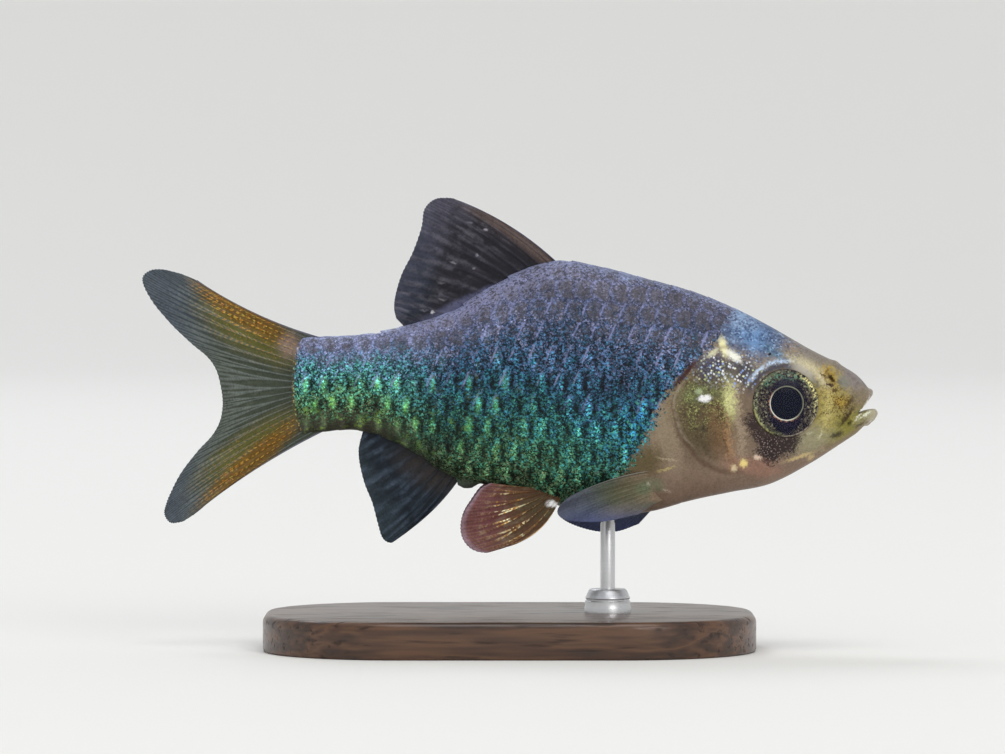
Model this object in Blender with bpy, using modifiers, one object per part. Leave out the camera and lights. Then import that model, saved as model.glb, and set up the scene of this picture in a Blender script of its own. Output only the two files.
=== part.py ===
# A tiger barb, life size, as a still museum fish held by a plain stand.
# Every size is in millimetres; each mesh is scaled to metres when it is made an object.
# +X is towards the head, +Z is up, and the origin is on the floor under the middle of the fish.
# Heights of the fish are counted from its long axis, which lies AXIS_HEIGHT above the floor.

import math

import bmesh
import bpy
from mathutils import Matrix, Vector

MM = 0.001
GAP = 0.3  # clearance between pieces that touch
SMALL = 1e-5
SIDEWAYS = Vector((0, 1, 0))

AXIS_HEIGHT = 21.5
SNOUT_X = 29.75
NOSE_ROUNDING = 1.7  # length over which the snout rounds to a point
MOUTH_HEIGHT = -1.55
HEAD_BACK_X = 12.7
STALK_FRONT_X = -12.45
STALK_BACK_X = -17.3
TAIL_SWAY = 1.6  # how far the tail tips swing to the left
SWAY_FRONT_X = 4.0
TAIL_TIP_X = -30.0

# Stations of the body: x, back, belly, half width, height of the widest line
BODY = (
    (-17.4, 3.95, -4.05, 0.75, 0.00),
    (-15.4, 3.98, -3.88, 1.15, 0.05),
    (-12.4, 4.12, -3.75, 1.50, 0.10),
    (-8.8, 4.78, -4.95, 2.00, 0.10),
    (-4.8, 6.08, -7.42, 2.65, 0.20),
    (-0.6, 8.65, -8.42, 3.35, 0.30),
    (3.6, 10.15, -9.72, 3.85, 0.30),
    (7.2, 9.72, -10.68, 4.10, 0.20),
    (11.4, 8.62, -10.32, 4.20, 0.00),
    (14.8, 7.68, -9.40, 4.10, -0.30),
    (18.0, 6.42, -8.72, 3.75, -0.70),
    (21.2, 4.78, -8.05, 3.32, -1.00),
    (24.4, 2.95, -6.42, 2.70, -1.30),
    (27.2, 1.50, -4.62, 1.95, -1.50),
    (29.8, -0.20, -2.90, 1.20, -1.60),
)
BACK_FULLNESS = 1.12  # above 1 the section narrows to a ridge
BELLY_FULLNESS = 0.86  # below 1 the section is full
CHEEK_FULLNESS = 0.74
CHEEK_FRONT_X = 21.0
CHEEK_BACK_X = 15.0

AROUND = 48  # points round a section
HEAD_RINGS = 40
TRUNK_RINGS = 28
STALK_RINGS = 8

EYE_X = 22.42
EYE_HEIGHT = -1.39
EYE_RADIUS = 2.75
EYE_BULGE = 0.72
EYE_DEPTH = 1.45
EYE_SINK = 0.12
EYE_YAW = 11.0
ORBIT_RIM = 0.16
ORBIT_RIM_WIDTH = 0.55

COVER_FRONT_X = 17.9
COVER_SLANT = -0.9  # the cover's front edge runs forward towards the throat
COVER_LENGTH = 4.7
COVER_HALF_HEIGHT = 5.0
COVER_MIDDLE = -2.0
COVER_THICKNESS = 0.55
COVER_PROUD = 0.12
COVER_ENDS = 0.97  # share of the half ellipse's height at which its thin ends are cut off
POCKET_TOP = 1.0
POCKET_CLEARANCE = 0.42  # measured across the head, so that a gap is left where the cheek slopes
CHEEK_RIDGE = 0.15
CHEEK_RIDGE_WIDTH = 0.45
CHEEK_RIDGE_REACH = 4.5
CHEEK_RIDGE_X = 19.0

MOUTH_CORNER = (27.6, -2.9)
# The slot under the upper jaw, from the open mouth to the throat: x, height, width
JAW_SLOT = ((31.0, -0.7, 1.15), (28.5, -2.05, GAP), (*MOUTH_CORNER, GAP), (24.7, -7.4, GAP))
LIP_HALF_WIDTH = 1.6
UPPER_LIP = {"front": 29.25, "height": -0.9, "radius": 0.36}
LOWER_LIP = {"front": 29.64, "height": -2.2, "radius": 0.36}
JAW_FOLD = 0.14  # groove behind the upper jaw's bone
JAW_FOLD_WIDTH = 0.3
JAW_FOLD_TOP = (28.3, 0.1)
JAW_FOLD_END = (26.9, -3.3)
JAW_SLOT_SPAN = 14.0
NOSTRIL_X = 26.35
NOSTRIL_HEIGHT = 0.75
NOSTRIL_PIT = {"ahead": 0.22, "radii": (0.3, 0.3, 0.3)}
NOSTRIL_FLAP = {"ahead": -0.28, "radii": (0.16, 0.42, 0.42)}

# Thickness of a ray at its root and tip, and the share of it that the web between rays has
MEDIAN_FIN = {"root": 1.15, "tip": 0.60, "web": 0.48}
PAIRED_FIN = {"root": 1.00, "tip": 0.55, "web": 0.50}

# Each margin runs from the leading ray's tip to the last one's: x, y, height.
# Bow is how far the leading ray arches forward.
DORSAL_ROOT = (4.4, -8.1)
DORSAL = {"rays": 10, "rows": 6, "bow": 0.45, "margin": (
    (-4.65, 0, 15.2), (-5.95, 0, 15.2), (-6.9, 0, 14.5), (-7.2, 0, 12.8), (-7.9, 0, 10.8),
    (-8.8, 0, 9.0), (-9.3, 0, 7.3), (-9.4, 0, 6.2), (-9.2, 0, 5.4),
)}
ANAL_ROOT = (-4.3, -11.8)
ANAL = {"rays": 8, "rows": 5, "bow": -0.6, "margin": (
    (-9.5, 0, -12.8), (-10.3, 0, -12.5), (-10.7, 0, -11.3), (-11.2, 0, -9.6), (-11.8, 0, -8.1),
    (-12.2, 0, -6.5), (-12.3, 0, -5.3), (-12.1, 0, -4.4),
)}
TAIL_ROOT_HALF_HEIGHT = 4.1
TAIL_FORK_HEIGHT = -0.35
UPPER_TAIL = {"rays": 10, "rows": 6, "bow": 1.1, "margin": (
    (-29.3, 0, 9.3), (-30.0, 0, 8.8), (-29.7, 0, 7.7), (-28.4, 0, 6.0), (-26.8, 0, 4.1),
    (-25.2, 0, 2.6), (-24.2, 0, 1.0), (-23.7, 0, -0.3), (-23.5, 0, -1.2),
)}
LOWER_TAIL = {"rays": 9, "rows": 6, "bow": -0.3, "margin": (
    (-27.0, 0, -11.2), (-27.7, 0, -11.2), (-27.8, 0, -10.5), (-27.2, 0, -9.0), (-26.5, 0, -7.3),
    (-25.7, 0, -5.7), (-24.7, 0, -4.2), (-23.8, 0, -2.8), (-23.5, 0, -1.55),
)}
PELVIC_ROOT = (3.9, 2.7)
PELVIC_ROOT_Y = 1.5
PELVIC = {"rays": 7, "rows": 5, "bow": -0.5, "margin": (
    (-1.5, 2.9, -13.4), (-2.8, 3.0, -13.2), (-3.7, 3.0, -12.3), (-4.0, 2.9, -11.0),
    (-3.75, 2.7, -9.8), (-3.0, 2.5, -8.9), (-1.8, 2.3, -8.45),
)}
PECTORAL_X = 12.0
PECTORAL_ROOT = (-6.8, -8.2)
RIGHT_PECTORAL = {"rays": 9, "rows": 5, "bow": 0.4, "margin": (
    (5.2, 4.9, -8.8), (4.2, 5.1, -9.7), (3.85, 5.1, -10.5), (5.0, 4.9, -10.9),
    (7.4, 4.5, -10.9), (9.7, 4.0, -10.6), (11.0, 3.6, -9.9),
)}
LEFT_PECTORAL = {"rays": 9, "rows": 5, "bow": 0.4, "margin": (
    (5.0, 4.9, -9.4), (4.1, 5.1, -10.4), (4.4, 5.2, -11.2), (5.7, 5.1, -11.8),
    (7.4, 4.9, -12.2), (9.0, 4.6, -12.1), (10.6, 4.2, -11.5),
)}

BASE_LENGTH = 40.0
BASE_WIDTH = 27.0
BASE_THICKNESS = 3.0
BASE_CORNER = 11.0
BASE_EDGE = 0.6
COLLAR_RADIUS = 1.9
COLLAR_HEIGHT = 1.6
ROD_X = 8.0
ROD_RADIUS = 0.6


def clear_scene():
    for thing in list(bpy.data.objects):
        bpy.data.objects.remove(thing)


def collection(name):
    made = bpy.data.collections.new(name)
    bpy.context.scene.collection.children.link(made)
    return made


def material(name, colour, roughness, metallic=0.0):
    made = bpy.data.materials.new(name)
    made.use_nodes = True
    shader = made.node_tree.nodes["Principled BSDF"]
    shader.inputs["Base Color"].default_value = (*colour, 1.0)
    shader.inputs["Roughness"].default_value = roughness
    shader.inputs["Metallic"].default_value = metallic
    made.diffuse_color = (*colour, 1.0)
    return made


def mix(a, b, share):
    return a + (b - a) * share


def ease(share):
    share = min(max(share, 0.0), 1.0)
    return share * share * (3 - 2 * share)


def hump(distance, width):
    return math.exp(-((distance / width) ** 2))


# A smooth curve between two values, leaving the first and reaching the second with given slopes
def bend(start, end, leaving, reaching, t):
    near = start * (1 + 2 * t) + leaving * t
    far = end * (3 - 2 * t) - reaching * (1 - t)
    return near * (1 - t) ** 2 + far * t * t


# The value at x of one column of a table whose first column rises
def along(table, column, x):
    last = len(table) - 1
    i = 0
    while i < last - 1 and x > table[i + 1][0]:
        i += 1

    def slope(k):
        before, after = table[max(k - 1, 0)], table[min(k + 1, last)]
        return (after[column] - before[column]) / (after[0] - before[0])

    start, end = table[i], table[i + 1]
    width = end[0] - start[0]
    t = (x - start[0]) / width
    return bend(start[column], end[column], slope(i) * width, slope(i + 1) * width, t)


# The point at a share of the run through a few points in space
def curve_at(points, share):
    place = share * (len(points) - 1)
    i = min(int(place), len(points) - 2)
    before, start = Vector(points[max(i - 1, 0)]), Vector(points[i])
    end, after = Vector(points[i + 1]), Vector(points[min(i + 2, len(points) - 1)])
    return bend(start, end, (end - before) / 2, (after - start) / 2, place - i)


# How much of the section is left where the snout rounds off
def nose(x):
    share = (x - (SNOUT_X - NOSE_ROUNDING)) / NOSE_ROUNDING
    return math.sqrt(max(1 - max(share, 0.0) ** 2, 0.0))


def back(x):
    return MOUTH_HEIGHT + (along(BODY, 1, x) - MOUTH_HEIGHT) * nose(x)


def belly(x):
    return MOUTH_HEIGHT + (along(BODY, 2, x) - MOUTH_HEIGHT) * nose(x)


def half_width(x):
    return along(BODY, 3, x) * nose(x)


def widest(x):
    return MOUTH_HEIGHT + (along(BODY, 4, x) - MOUTH_HEIGHT) * nose(x)


def fullness(x, cosine):
    trunk = mix(BELLY_FULLNESS, BACK_FULLNESS, (1 + cosine) / 2)
    return mix(trunk, CHEEK_FULLNESS, ease((x - CHEEK_BACK_X) / (CHEEK_FRONT_X - CHEEK_BACK_X)))


def sway(x):
    share = max(SWAY_FRONT_X - x, 0.0) / (SWAY_FRONT_X - TAIL_TIP_X)
    return TAIL_SWAY * share * share


# Distance of a point of the side view from the straight stretch between two others
def from_stretch(x, height, start, end):
    point, first, run = Vector((x, height)), Vector(start), Vector(end) - Vector(start)
    share = min(max((point - first).dot(run) / run.length_squared, 0.0), 1.0)
    return (point - first - run * share).length


# Raised rim of the eye socket, ridge in front of the gill cover and fold behind the upper jaw
def relief(x, height):
    from_eye = math.hypot(x - EYE_X, height - EYE_HEIGHT) - EYE_RADIUS - GAP
    rim = ORBIT_RIM * hump(from_eye, ORBIT_RIM_WIDTH)
    ridge_x = CHEEK_RIDGE_X + COVER_SLANT * (height - COVER_MIDDLE) / COVER_HALF_HEIGHT
    ridge = CHEEK_RIDGE * hump(x - ridge_x, CHEEK_RIDGE_WIDTH)
    ridge *= hump(height - COVER_MIDDLE, CHEEK_RIDGE_REACH)
    fold = JAW_FOLD * hump(from_stretch(x, height, JAW_FOLD_TOP, JAW_FOLD_END), JAW_FOLD_WIDTH)
    return rim + ridge - fold


# The point of the skin at x and at an angle that is 0 on the back and pi on the belly
def skin_point(x, angle):
    cosine, sine = math.cos(angle), math.sin(angle)
    reach = back(x) - widest(x) if cosine > 0 else widest(x) - belly(x)
    height = widest(x) + reach * cosine
    side = math.copysign(abs(sine) ** fullness(x, cosine), sine)
    y = half_width(x) * side
    if abs(side) > 0.3:
        y += math.copysign(relief(x, height), y) * ease((abs(side) - 0.3) / 0.4)
    return Vector((x, y + sway(x), height))


# Half width of the skin at x and at a height, without the relief
def side_of(x, height):
    above = height > widest(x)
    reach = back(x) - widest(x) if above else widest(x) - belly(x)
    cosine = (height - widest(x)) / reach
    return half_width(x) * math.sqrt(max(1 - cosine * cosine, 0.0)) ** fullness(x, cosine)


# Height of the skin's underside at x, a distance from the middle
def belly_at(x, y):
    sine = (y / half_width(x)) ** (1 / BELLY_FULLNESS)
    return widest(x) - (widest(x) - belly(x)) * math.sqrt(1 - sine * sine)


def new_object(name, bm, colour, where, lift=AXIS_HEIGHT):
    bm.normal_update()
    bmesh.ops.recalc_face_normals(bm, faces=bm.faces)
    bm.transform(Matrix.Translation((0, 0, lift)))
    bm.transform(Matrix.Scale(MM, 4))
    mesh = bpy.data.meshes.new(name)
    bm.to_mesh(mesh)
    bm.free()
    mesh.shade_smooth()
    mesh.set_sharp_from_angle(angle=math.radians(40))
    mesh.materials.append(colour)
    made = bpy.data.objects.new(name, mesh)
    where.objects.link(made)
    return made


# The object's evaluated mesh takes its modifiers' place
def bake(thing):
    bpy.context.view_layer.update()
    graph = bpy.context.evaluated_depsgraph_get()
    mesh = bpy.data.meshes.new_from_object(thing.evaluated_get(graph))
    thing.modifiers.clear()
    thing.data = mesh


def boolean(target, operation, pieces):
    group = bpy.data.collections.new("pieces_of_" + target.name)
    for piece in pieces:
        group.objects.link(piece)
    modifier = target.modifiers.new("join_or_cut", "BOOLEAN")
    modifier.operation = operation
    modifier.solver = "EXACT"
    modifier.operand_type = "COLLECTION"
    modifier.collection = group
    bake(target)
    for piece in pieces:
        bpy.data.objects.remove(piece)
    bpy.data.collections.remove(group)


# The points of each closed surface of a mesh, the surface with most points first
def closed_surfaces(bm):
    left = set(bm.verts)
    found = []
    while left:
        surface = set()
        edge = {left.pop()}
        while edge:
            surface |= edge
            edge = {e.other_vert(v) for v in edge for e in v.link_edges} - surface
        left -= surface
        found.append(surface)
    return sorted(found, key=len, reverse=True)


# Leaves a thing the one of its closed surfaces that has this rank by its count of points
def keep_surface(thing, rank):
    bm = bmesh.new()
    bm.from_mesh(thing.data)
    bmesh.ops.remove_doubles(bm, verts=bm.verts, dist=SMALL * MM)
    kept = closed_surfaces(bm)[rank]
    bmesh.ops.delete(bm, geom=[v for v in bm.verts if v not in kept], context="VERTS")
    bm.to_mesh(thing.data)
    bm.free()


# A stretch of the body between two x, closed at both ends, with its rings crowded at the snout
def body_stretch(name, back_x, front_x, rings, colour, where):
    bm = bmesh.new()
    bmesh.ops.create_grid(bm, x_segments=rings, y_segments=AROUND, size=0.5)
    for vert in bm.verts:
        share = vert.co.x + 0.5
        if front_x >= SNOUT_X:
            share = mix(share, math.sin(share * math.pi / 2), 0.55)
        angle = (vert.co.y + 0.5) * 2 * math.pi
        vert.co = skin_point(mix(back_x, front_x, share), angle)
    bmesh.ops.remove_doubles(bm, verts=bm.verts, dist=SMALL)
    bmesh.ops.holes_fill(bm, edges=bm.edges, sides=0)
    bmesh.ops.triangulate(bm, faces=[f for f in bm.faces if len(f.verts) > 4])
    return new_object(name, bm, colour, where)


# An eye as a lens: low outside, deeper inside, turned to the slope of the cheek
def eye(name, side, grow, colour, where):
    bm = bmesh.new()
    bmesh.ops.create_uvsphere(bm, u_segments=28, v_segments=12, radius=1.0)
    for vert in bm.verts:
        outward = vert.co.z
        depth = EYE_BULGE if outward > 0 else EYE_DEPTH
        radius = EYE_RADIUS + grow
        vert.co = Vector((vert.co.x * radius, outward * (depth + grow), vert.co.y * radius))
    bm.transform(Matrix.Rotation(math.radians(-EYE_YAW), 4, "Z"))
    centre_y = side_of(EYE_X, EYE_HEIGHT) - EYE_SINK
    for vert in bm.verts:
        vert.co = Vector((EYE_X + vert.co.x, side * (centre_y + vert.co.y), EYE_HEIGHT + vert.co.z))
    return new_object(name, bm, colour, where)


# A gill cover, or the pocket for it: half an ellipse of the cheek, from outer to inner offset
def gill_cover(name, side, grow, outer, inner, colour, where):
    bm = bmesh.new()
    bmesh.ops.create_grid(bm, x_segments=8, y_segments=18, size=0.5)
    for vert in bm.verts:
        up = 2 * vert.co.y * COVER_ENDS
        reach = (vert.co.x + 0.5) * (COVER_LENGTH + grow) * math.sqrt(1 - up * up)
        x = COVER_FRONT_X + COVER_SLANT * up + grow - reach * (1 + grow / COVER_LENGTH)
        height = COVER_MIDDLE + up * (COVER_HALF_HEIGHT + grow)
        vert.co = Vector((x, side * (side_of(x, height) + (outer + inner) / 2), height))
    bmesh.ops.triangulate(bm, faces=bm.faces)
    made = new_object(name, bm, colour, where)
    thicken(made, outer - inner)
    bake(made)
    return made


# Gives a sheet its thickness, or a share of it at each point listed with one
def thicken(thing, thickness, shares=()):
    modifier = thing.modifiers.new("thickness", "SOLIDIFY")
    modifier.thickness = thickness * MM
    modifier.offset = 0
    if shares:
        group = thing.vertex_groups.new(name="thickness")
        modifier.vertex_group = group.name
        for index, share in shares:
            group.add([index], share, "REPLACE")


def lip(name, sizes, colour, where):
    line = bpy.data.curves.new(name, "CURVE")
    line.dimensions = "3D"
    line.bevel_depth = sizes["radius"] * MM
    line.bevel_resolution = 2
    line.use_fill_caps = True
    spline = line.splines.new("POLY")
    steps = 14
    spline.points.add(steps)
    reach = sizes["front"] - MOUTH_CORNER[0]
    for i, point in enumerate(spline.points):
        turn = math.pi * (i / steps - 0.5)
        x = MOUTH_CORNER[0] + reach * math.cos(turn)
        y = LIP_HALF_WIDTH * math.sin(turn)
        height = mix(MOUTH_CORNER[1], sizes["height"], math.cos(turn))
        point.co = (x * MM, y * MM, (height + AXIS_HEIGHT) * MM, 1.0)
        point.radius = mix(0.75, 1.0, math.cos(turn))
    curve = bpy.data.objects.new(name, line)
    where.objects.link(curve)
    bpy.context.view_layer.update()
    graph = bpy.context.evaluated_depsgraph_get()
    mesh = bpy.data.meshes.new_from_object(curve.evaluated_get(graph))
    bpy.data.objects.remove(curve)
    bm = bmesh.new()
    bm.from_mesh(mesh)
    bmesh.ops.remove_doubles(bm, verts=bm.verts, dist=SMALL * MM)
    bmesh.ops.recalc_face_normals(bm, faces=bm.faces)
    bm.to_mesh(mesh)
    bm.free()
    mesh.materials.clear()
    mesh.materials.append(colour)
    made = bpy.data.objects.new(name, mesh)
    where.objects.link(made)
    return made


# A nostril's pit or flap: a ball on the skin, squashed along the head for the flap
def nostril_piece(side, sizes, colour, where):
    x = NOSTRIL_X + sizes["ahead"]
    bm = bmesh.new()
    bmesh.ops.create_icosphere(bm, subdivisions=2, radius=1.0)
    bm.transform(Matrix.Diagonal((*sizes["radii"], 1.0)))
    bm.transform(Matrix.Translation((x, side * side_of(x, NOSTRIL_HEIGHT), NOSTRIL_HEIGHT)))
    return new_object("nostril_piece", bm, colour, where)


# The slot that parts the lower jaw: a ribbon along its path, wide where the mouth is open
def jaw_slot(colour, where):
    bm = bmesh.new()
    bends = len(JAW_SLOT) - 1
    bmesh.ops.create_grid(bm, x_segments=bends, y_segments=1, size=0.5)
    widths = []
    for vert in bm.verts:
        x, height, width = JAW_SLOT[round((vert.co.x + 0.5) * bends)]
        vert.co = Vector((x, vert.co.y * JAW_SLOT_SPAN, height))
        widths.append((vert.index, width / JAW_SLOT[0][2]))
    made = new_object("jaw_slot", bm, colour, where)
    thicken(made, JAW_SLOT[0][2], widths)
    bake(made)
    return made


def head_and_jaw(colours, fish, tools):
    skin = colours["head"]
    head = body_stretch("head", HEAD_BACK_X, SNOUT_X, HEAD_RINGS, skin, fish)
    raised = [lip("upper_lip", UPPER_LIP, skin, tools), lip("lower_lip", LOWER_LIP, skin, tools)]
    hollows = [jaw_slot(skin, tools)]
    floor = COVER_PROUD - COVER_THICKNESS - POCKET_CLEARANCE
    for side in (-1, 1):
        raised.append(nostril_piece(side, NOSTRIL_FLAP, skin, tools))
        hollows.append(nostril_piece(side, NOSTRIL_PIT, skin, tools))
        hollows.append(eye("socket", side, GAP, skin, tools))
        hollows.append(gill_cover("pocket", side, POCKET_CLEARANCE, POCKET_TOP, floor, skin, tools))
    boolean(head, "UNION", raised)
    boolean(head, "DIFFERENCE", hollows)
    jaw = bpy.data.objects.new("lower_jaw", head.data.copy())
    fish.objects.link(jaw)
    keep_surface(head, 0)
    keep_surface(jaw, 1)


# A fin: its rays fan from root(share) to the margin as ridges on a thin web
def fin(name, shape, sizes, root, margin, colour, where):
    columns = 2 * (shape["rays"] - 1)
    bm = bmesh.new()
    bmesh.ops.create_grid(bm, x_segments=columns, y_segments=shape["rows"], size=0.5)
    shares = []
    for vert in bm.verts:
        across, length = vert.co.x + 0.5, vert.co.y + 0.5
        start, tip = root(across), curve_at(margin, across)
        forward = SIDEWAYS.cross(tip - start).normalized()
        arch = shape["bow"] * (1 - across) * 4 * length * (1 - length)
        vert.co = start.lerp(tip, length) + forward * arch
        vert.co.y += sway(vert.co.x)
        crest = 1.0 if round(across * columns) % 2 == 0 else sizes["web"]
        shares.append((vert.index, mix(1.0, sizes["tip"] / sizes["root"], length) * crest))
    bmesh.ops.triangulate(bm, faces=bm.faces)
    made = new_object(name, bm, colour, where)
    thicken(made, sizes["root"], shares)
    bake(made)


# The root of a fin in the fish's middle plane, a gap above or below the edge of the body
def edge_root(ends, edge, offset):
    def root(share):
        x = mix(*ends, share)
        return Vector((x, 0, edge(x) + offset))

    return root


def tail_root(first, last):
    return lambda share: Vector((STALK_BACK_X - GAP, 0, mix(first, last, share)))


def median_fins(colours, fish):
    top, fork = TAIL_ROOT_HALF_HEIGHT, TAIL_FORK_HEIGHT
    fins = (
        ("dorsal_fin", DORSAL, edge_root(DORSAL_ROOT, back, GAP), "fin"),
        ("anal_fin", ANAL, edge_root(ANAL_ROOT, belly, -GAP), "fin"),
        ("tail_fin_upper", UPPER_TAIL, tail_root(top, fork + GAP / 2), "tail_fin"),
        ("tail_fin_lower", LOWER_TAIL, tail_root(-top, fork - GAP / 2), "tail_fin"),
    )
    for name, shape, root, colour in fins:
        fin(name, shape, MEDIAN_FIN, root, shape["margin"], colours[colour], fish)


# The roots of the paired fins follow the skin's underside and side, a gap clear of them
def paired_fins(colours, fish):
    half_root = PAIRED_FIN["root"] / 2
    for side, word, pectoral in ((-1, "right", RIGHT_PECTORAL), (1, "left", LEFT_PECTORAL)):

        def pelvic_root(share):
            x = mix(*PELVIC_ROOT, share)
            height = belly_at(x, PELVIC_ROOT_Y - half_root) - GAP
            return Vector((x, side * PELVIC_ROOT_Y, height))

        def pectoral_root(share):
            height = mix(*PECTORAL_ROOT, share)
            out = side_of(PECTORAL_X, height) + half_root + GAP
            return Vector((PECTORAL_X, side * out, height))

        fins = (
            ("pelvic_fin", PELVIC, pelvic_root),
            ("pectoral_fin", pectoral, pectoral_root),
        )
        for name, shape, root in fins:
            margin = [(x, side * y, height) for x, y, height in shape["margin"]]
            fin(f"{name}_{word}", shape, PAIRED_FIN, root, margin, colours[name], fish)


def stand(colours, where):
    bm = bmesh.new()
    bmesh.ops.create_cube(bm, size=1.0)
    bm.transform(Matrix.Diagonal((BASE_LENGTH, BASE_WIDTH, BASE_THICKNESS, 1.0)))
    upright = [e for e in bm.edges if abs(e.verts[0].co.z - e.verts[1].co.z) > SMALL]
    bmesh.ops.bevel(bm, geom=upright, offset=BASE_CORNER, segments=9, affect="EDGES", profile=0.5)
    top = [e for e in bm.edges if all(v.co.z > 0 for v in e.verts)]
    bmesh.ops.bevel(bm, geom=top, offset=BASE_EDGE, segments=2, affect="EDGES", profile=0.5)
    new_object("stand_base", bm, colours["base"], where, BASE_THICKNESS / 2)

    collar_bottom = BASE_THICKNESS + GAP
    bm = bmesh.new()
    bmesh.ops.create_cone(bm, cap_ends=True, segments=24, radius1=COLLAR_RADIUS,
                          radius2=COLLAR_RADIUS * 0.8, depth=COLLAR_HEIGHT)
    bm.transform(Matrix.Translation((ROD_X, 0, 0)))
    new_object("stand_collar", bm, colours["metal"], where, collar_bottom + COLLAR_HEIGHT / 2)

    rod_bottom = collar_bottom + COLLAR_HEIGHT + GAP
    rod_top = AXIS_HEIGHT + min(belly(ROD_X - ROD_RADIUS), belly(ROD_X + ROD_RADIUS)) - GAP
    bm = bmesh.new()
    bmesh.ops.create_cone(bm, cap_ends=True, segments=16, radius1=ROD_RADIUS,
                          radius2=ROD_RADIUS, depth=rod_top - rod_bottom)
    bm.transform(Matrix.Translation((ROD_X, sway(ROD_X), 0)))
    new_object("stand_rod", bm, colours["metal"], where, (rod_top + rod_bottom) / 2)


def main():
    clear_scene()
    colours = {
        "trunk": material("trunk", (0.05, 0.22, 0.28), 0.35, 0.3),
        "head": material("head", (0.48, 0.38, 0.26), 0.4, 0.1),
        "cover": material("gill_cover", (0.36, 0.28, 0.18), 0.35, 0.2),
        "eye": material("eye", (0.02, 0.02, 0.03), 0.08),
        "fin": material("fin", (0.13, 0.13, 0.18), 0.45),
        "tail_fin": material("tail_fin", (0.32, 0.30, 0.22), 0.45),
        "pelvic_fin": material("pelvic_fin", (0.50, 0.22, 0.12), 0.45),
        "pectoral_fin": material("pectoral_fin", (0.28, 0.30, 0.30), 0.4),
        "base": material("stand_wood", (0.16, 0.09, 0.05), 0.4),
        "metal": material("stand_metal", (0.62, 0.62, 0.64), 0.3, 1.0),
    }
    fish = collection("tiger_barb")
    tools = collection("tools")
    head_and_jaw(colours, fish, tools)
    trunk_front = HEAD_BACK_X - GAP
    body_stretch("trunk", STALK_FRONT_X + GAP, trunk_front, TRUNK_RINGS, colours["trunk"], fish)
    body_stretch("tail_stalk", STALK_BACK_X, STALK_FRONT_X, STALK_RINGS, colours["trunk"], fish)
    inner = COVER_PROUD - COVER_THICKNESS
    for side, word in ((-1, "right"), (1, "left")):
        eye(f"eye_{word}", side, 0.0, colours["eye"], fish)
        gill_cover(f"gill_cover_{word}", side, 0.0, COVER_PROUD, inner, colours["cover"], fish)
    median_fins(colours, fish)
    paired_fins(colours, fish)
    stand(colours, fish)


main()
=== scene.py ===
# A tiger barb as a still, life-size display model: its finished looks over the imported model.
# Sizes are in millimetres. Heights of the fish are counted from its long axis.
# +X is towards the head, +Y is the fish's left side and +Z is up.

import math

import bmesh
import bpy
import numpy as np
from mathutils import Matrix, Vector


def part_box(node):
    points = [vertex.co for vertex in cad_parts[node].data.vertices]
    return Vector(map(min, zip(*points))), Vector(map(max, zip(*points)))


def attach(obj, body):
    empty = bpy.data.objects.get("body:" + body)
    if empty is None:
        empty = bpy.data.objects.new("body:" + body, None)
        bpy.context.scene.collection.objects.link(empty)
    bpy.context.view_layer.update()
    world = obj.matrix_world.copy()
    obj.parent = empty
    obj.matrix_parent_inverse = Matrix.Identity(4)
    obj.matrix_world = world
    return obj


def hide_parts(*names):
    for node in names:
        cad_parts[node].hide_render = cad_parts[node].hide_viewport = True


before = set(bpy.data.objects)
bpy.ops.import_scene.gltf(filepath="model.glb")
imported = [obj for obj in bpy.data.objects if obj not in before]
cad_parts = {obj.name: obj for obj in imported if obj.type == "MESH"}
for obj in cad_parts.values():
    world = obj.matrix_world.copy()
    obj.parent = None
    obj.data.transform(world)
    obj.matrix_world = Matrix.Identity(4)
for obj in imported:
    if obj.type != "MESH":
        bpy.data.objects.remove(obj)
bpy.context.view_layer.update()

mm = 0.001
draws = np.random.default_rng(7)

body = {
    "axisHeight": 21.5,
    "snoutX": 29.75,
    "noseRounding": 1.7,  # length over which the snout rounds off
    "mouthHeight": -1.55,
    "tailEndX": -17.95,
    "tailTaper": 0.3,  # share of the width that is left where the body passes into the tail fin
    "backFullness": 1.12,  # above 1 the section narrows to a ridge
    "bellyFullness": 0.86,
    "cheekFullness": 0.74,
    "cheekBackX": 15.0,
    "cheekFrontX": 21.0,
    "tailSway": 1.6,  # how far the tail tips swing to the left
    "swayFrontX": 4.0,
    "tailTipX": -30.0,
    # x, back, belly, half width, height of the widest line
    "stations": np.array([
        (-17.4, 3.95, -4.05, 0.75, 0.00), (-15.4, 3.98, -3.88, 1.15, 0.05), (-12.4, 4.12, -3.75, 1.50, 0.10),
        (-8.8, 4.78, -4.95, 2.00, 0.10), (-4.8, 6.08, -7.42, 2.65, 0.20), (-0.6, 8.65, -8.42, 3.35, 0.30),
        (3.6, 10.15, -9.72, 3.85, 0.30), (7.2, 9.72, -10.68, 4.10, 0.20), (11.4, 8.62, -10.32, 4.20, 0.00),
        (14.8, 7.68, -9.40, 4.10, -0.30), (18.0, 6.42, -8.72, 3.75, -0.70), (21.2, 4.78, -8.05, 3.32, -1.00),
        (24.4, 2.95, -6.42, 2.70, -1.30), (27.2, 1.50, -4.62, 1.95, -1.50), (29.8, -0.20, -2.90, 1.20, -1.60),
    ]),
}


# Small sums on arrays

def mix(a, b, share):
    return a + (b - a) * share


def ease(share):
    share = np.clip(share, 0.0, 1.0)
    return share * share * (3 - 2 * share)


def hump(distance, width):
    return np.exp(-((distance / width) ** 2))


# A smooth curve between two values with the slopes it leaves and reaches them by
def bend(start, end, leaving, reaching, t):
    near = start * (1 + 2 * t) + leaving * t
    far = end * (3 - 2 * t) - reaching * (1 - t)
    return near * (1 - t) ** 2 + far * t * t


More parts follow.
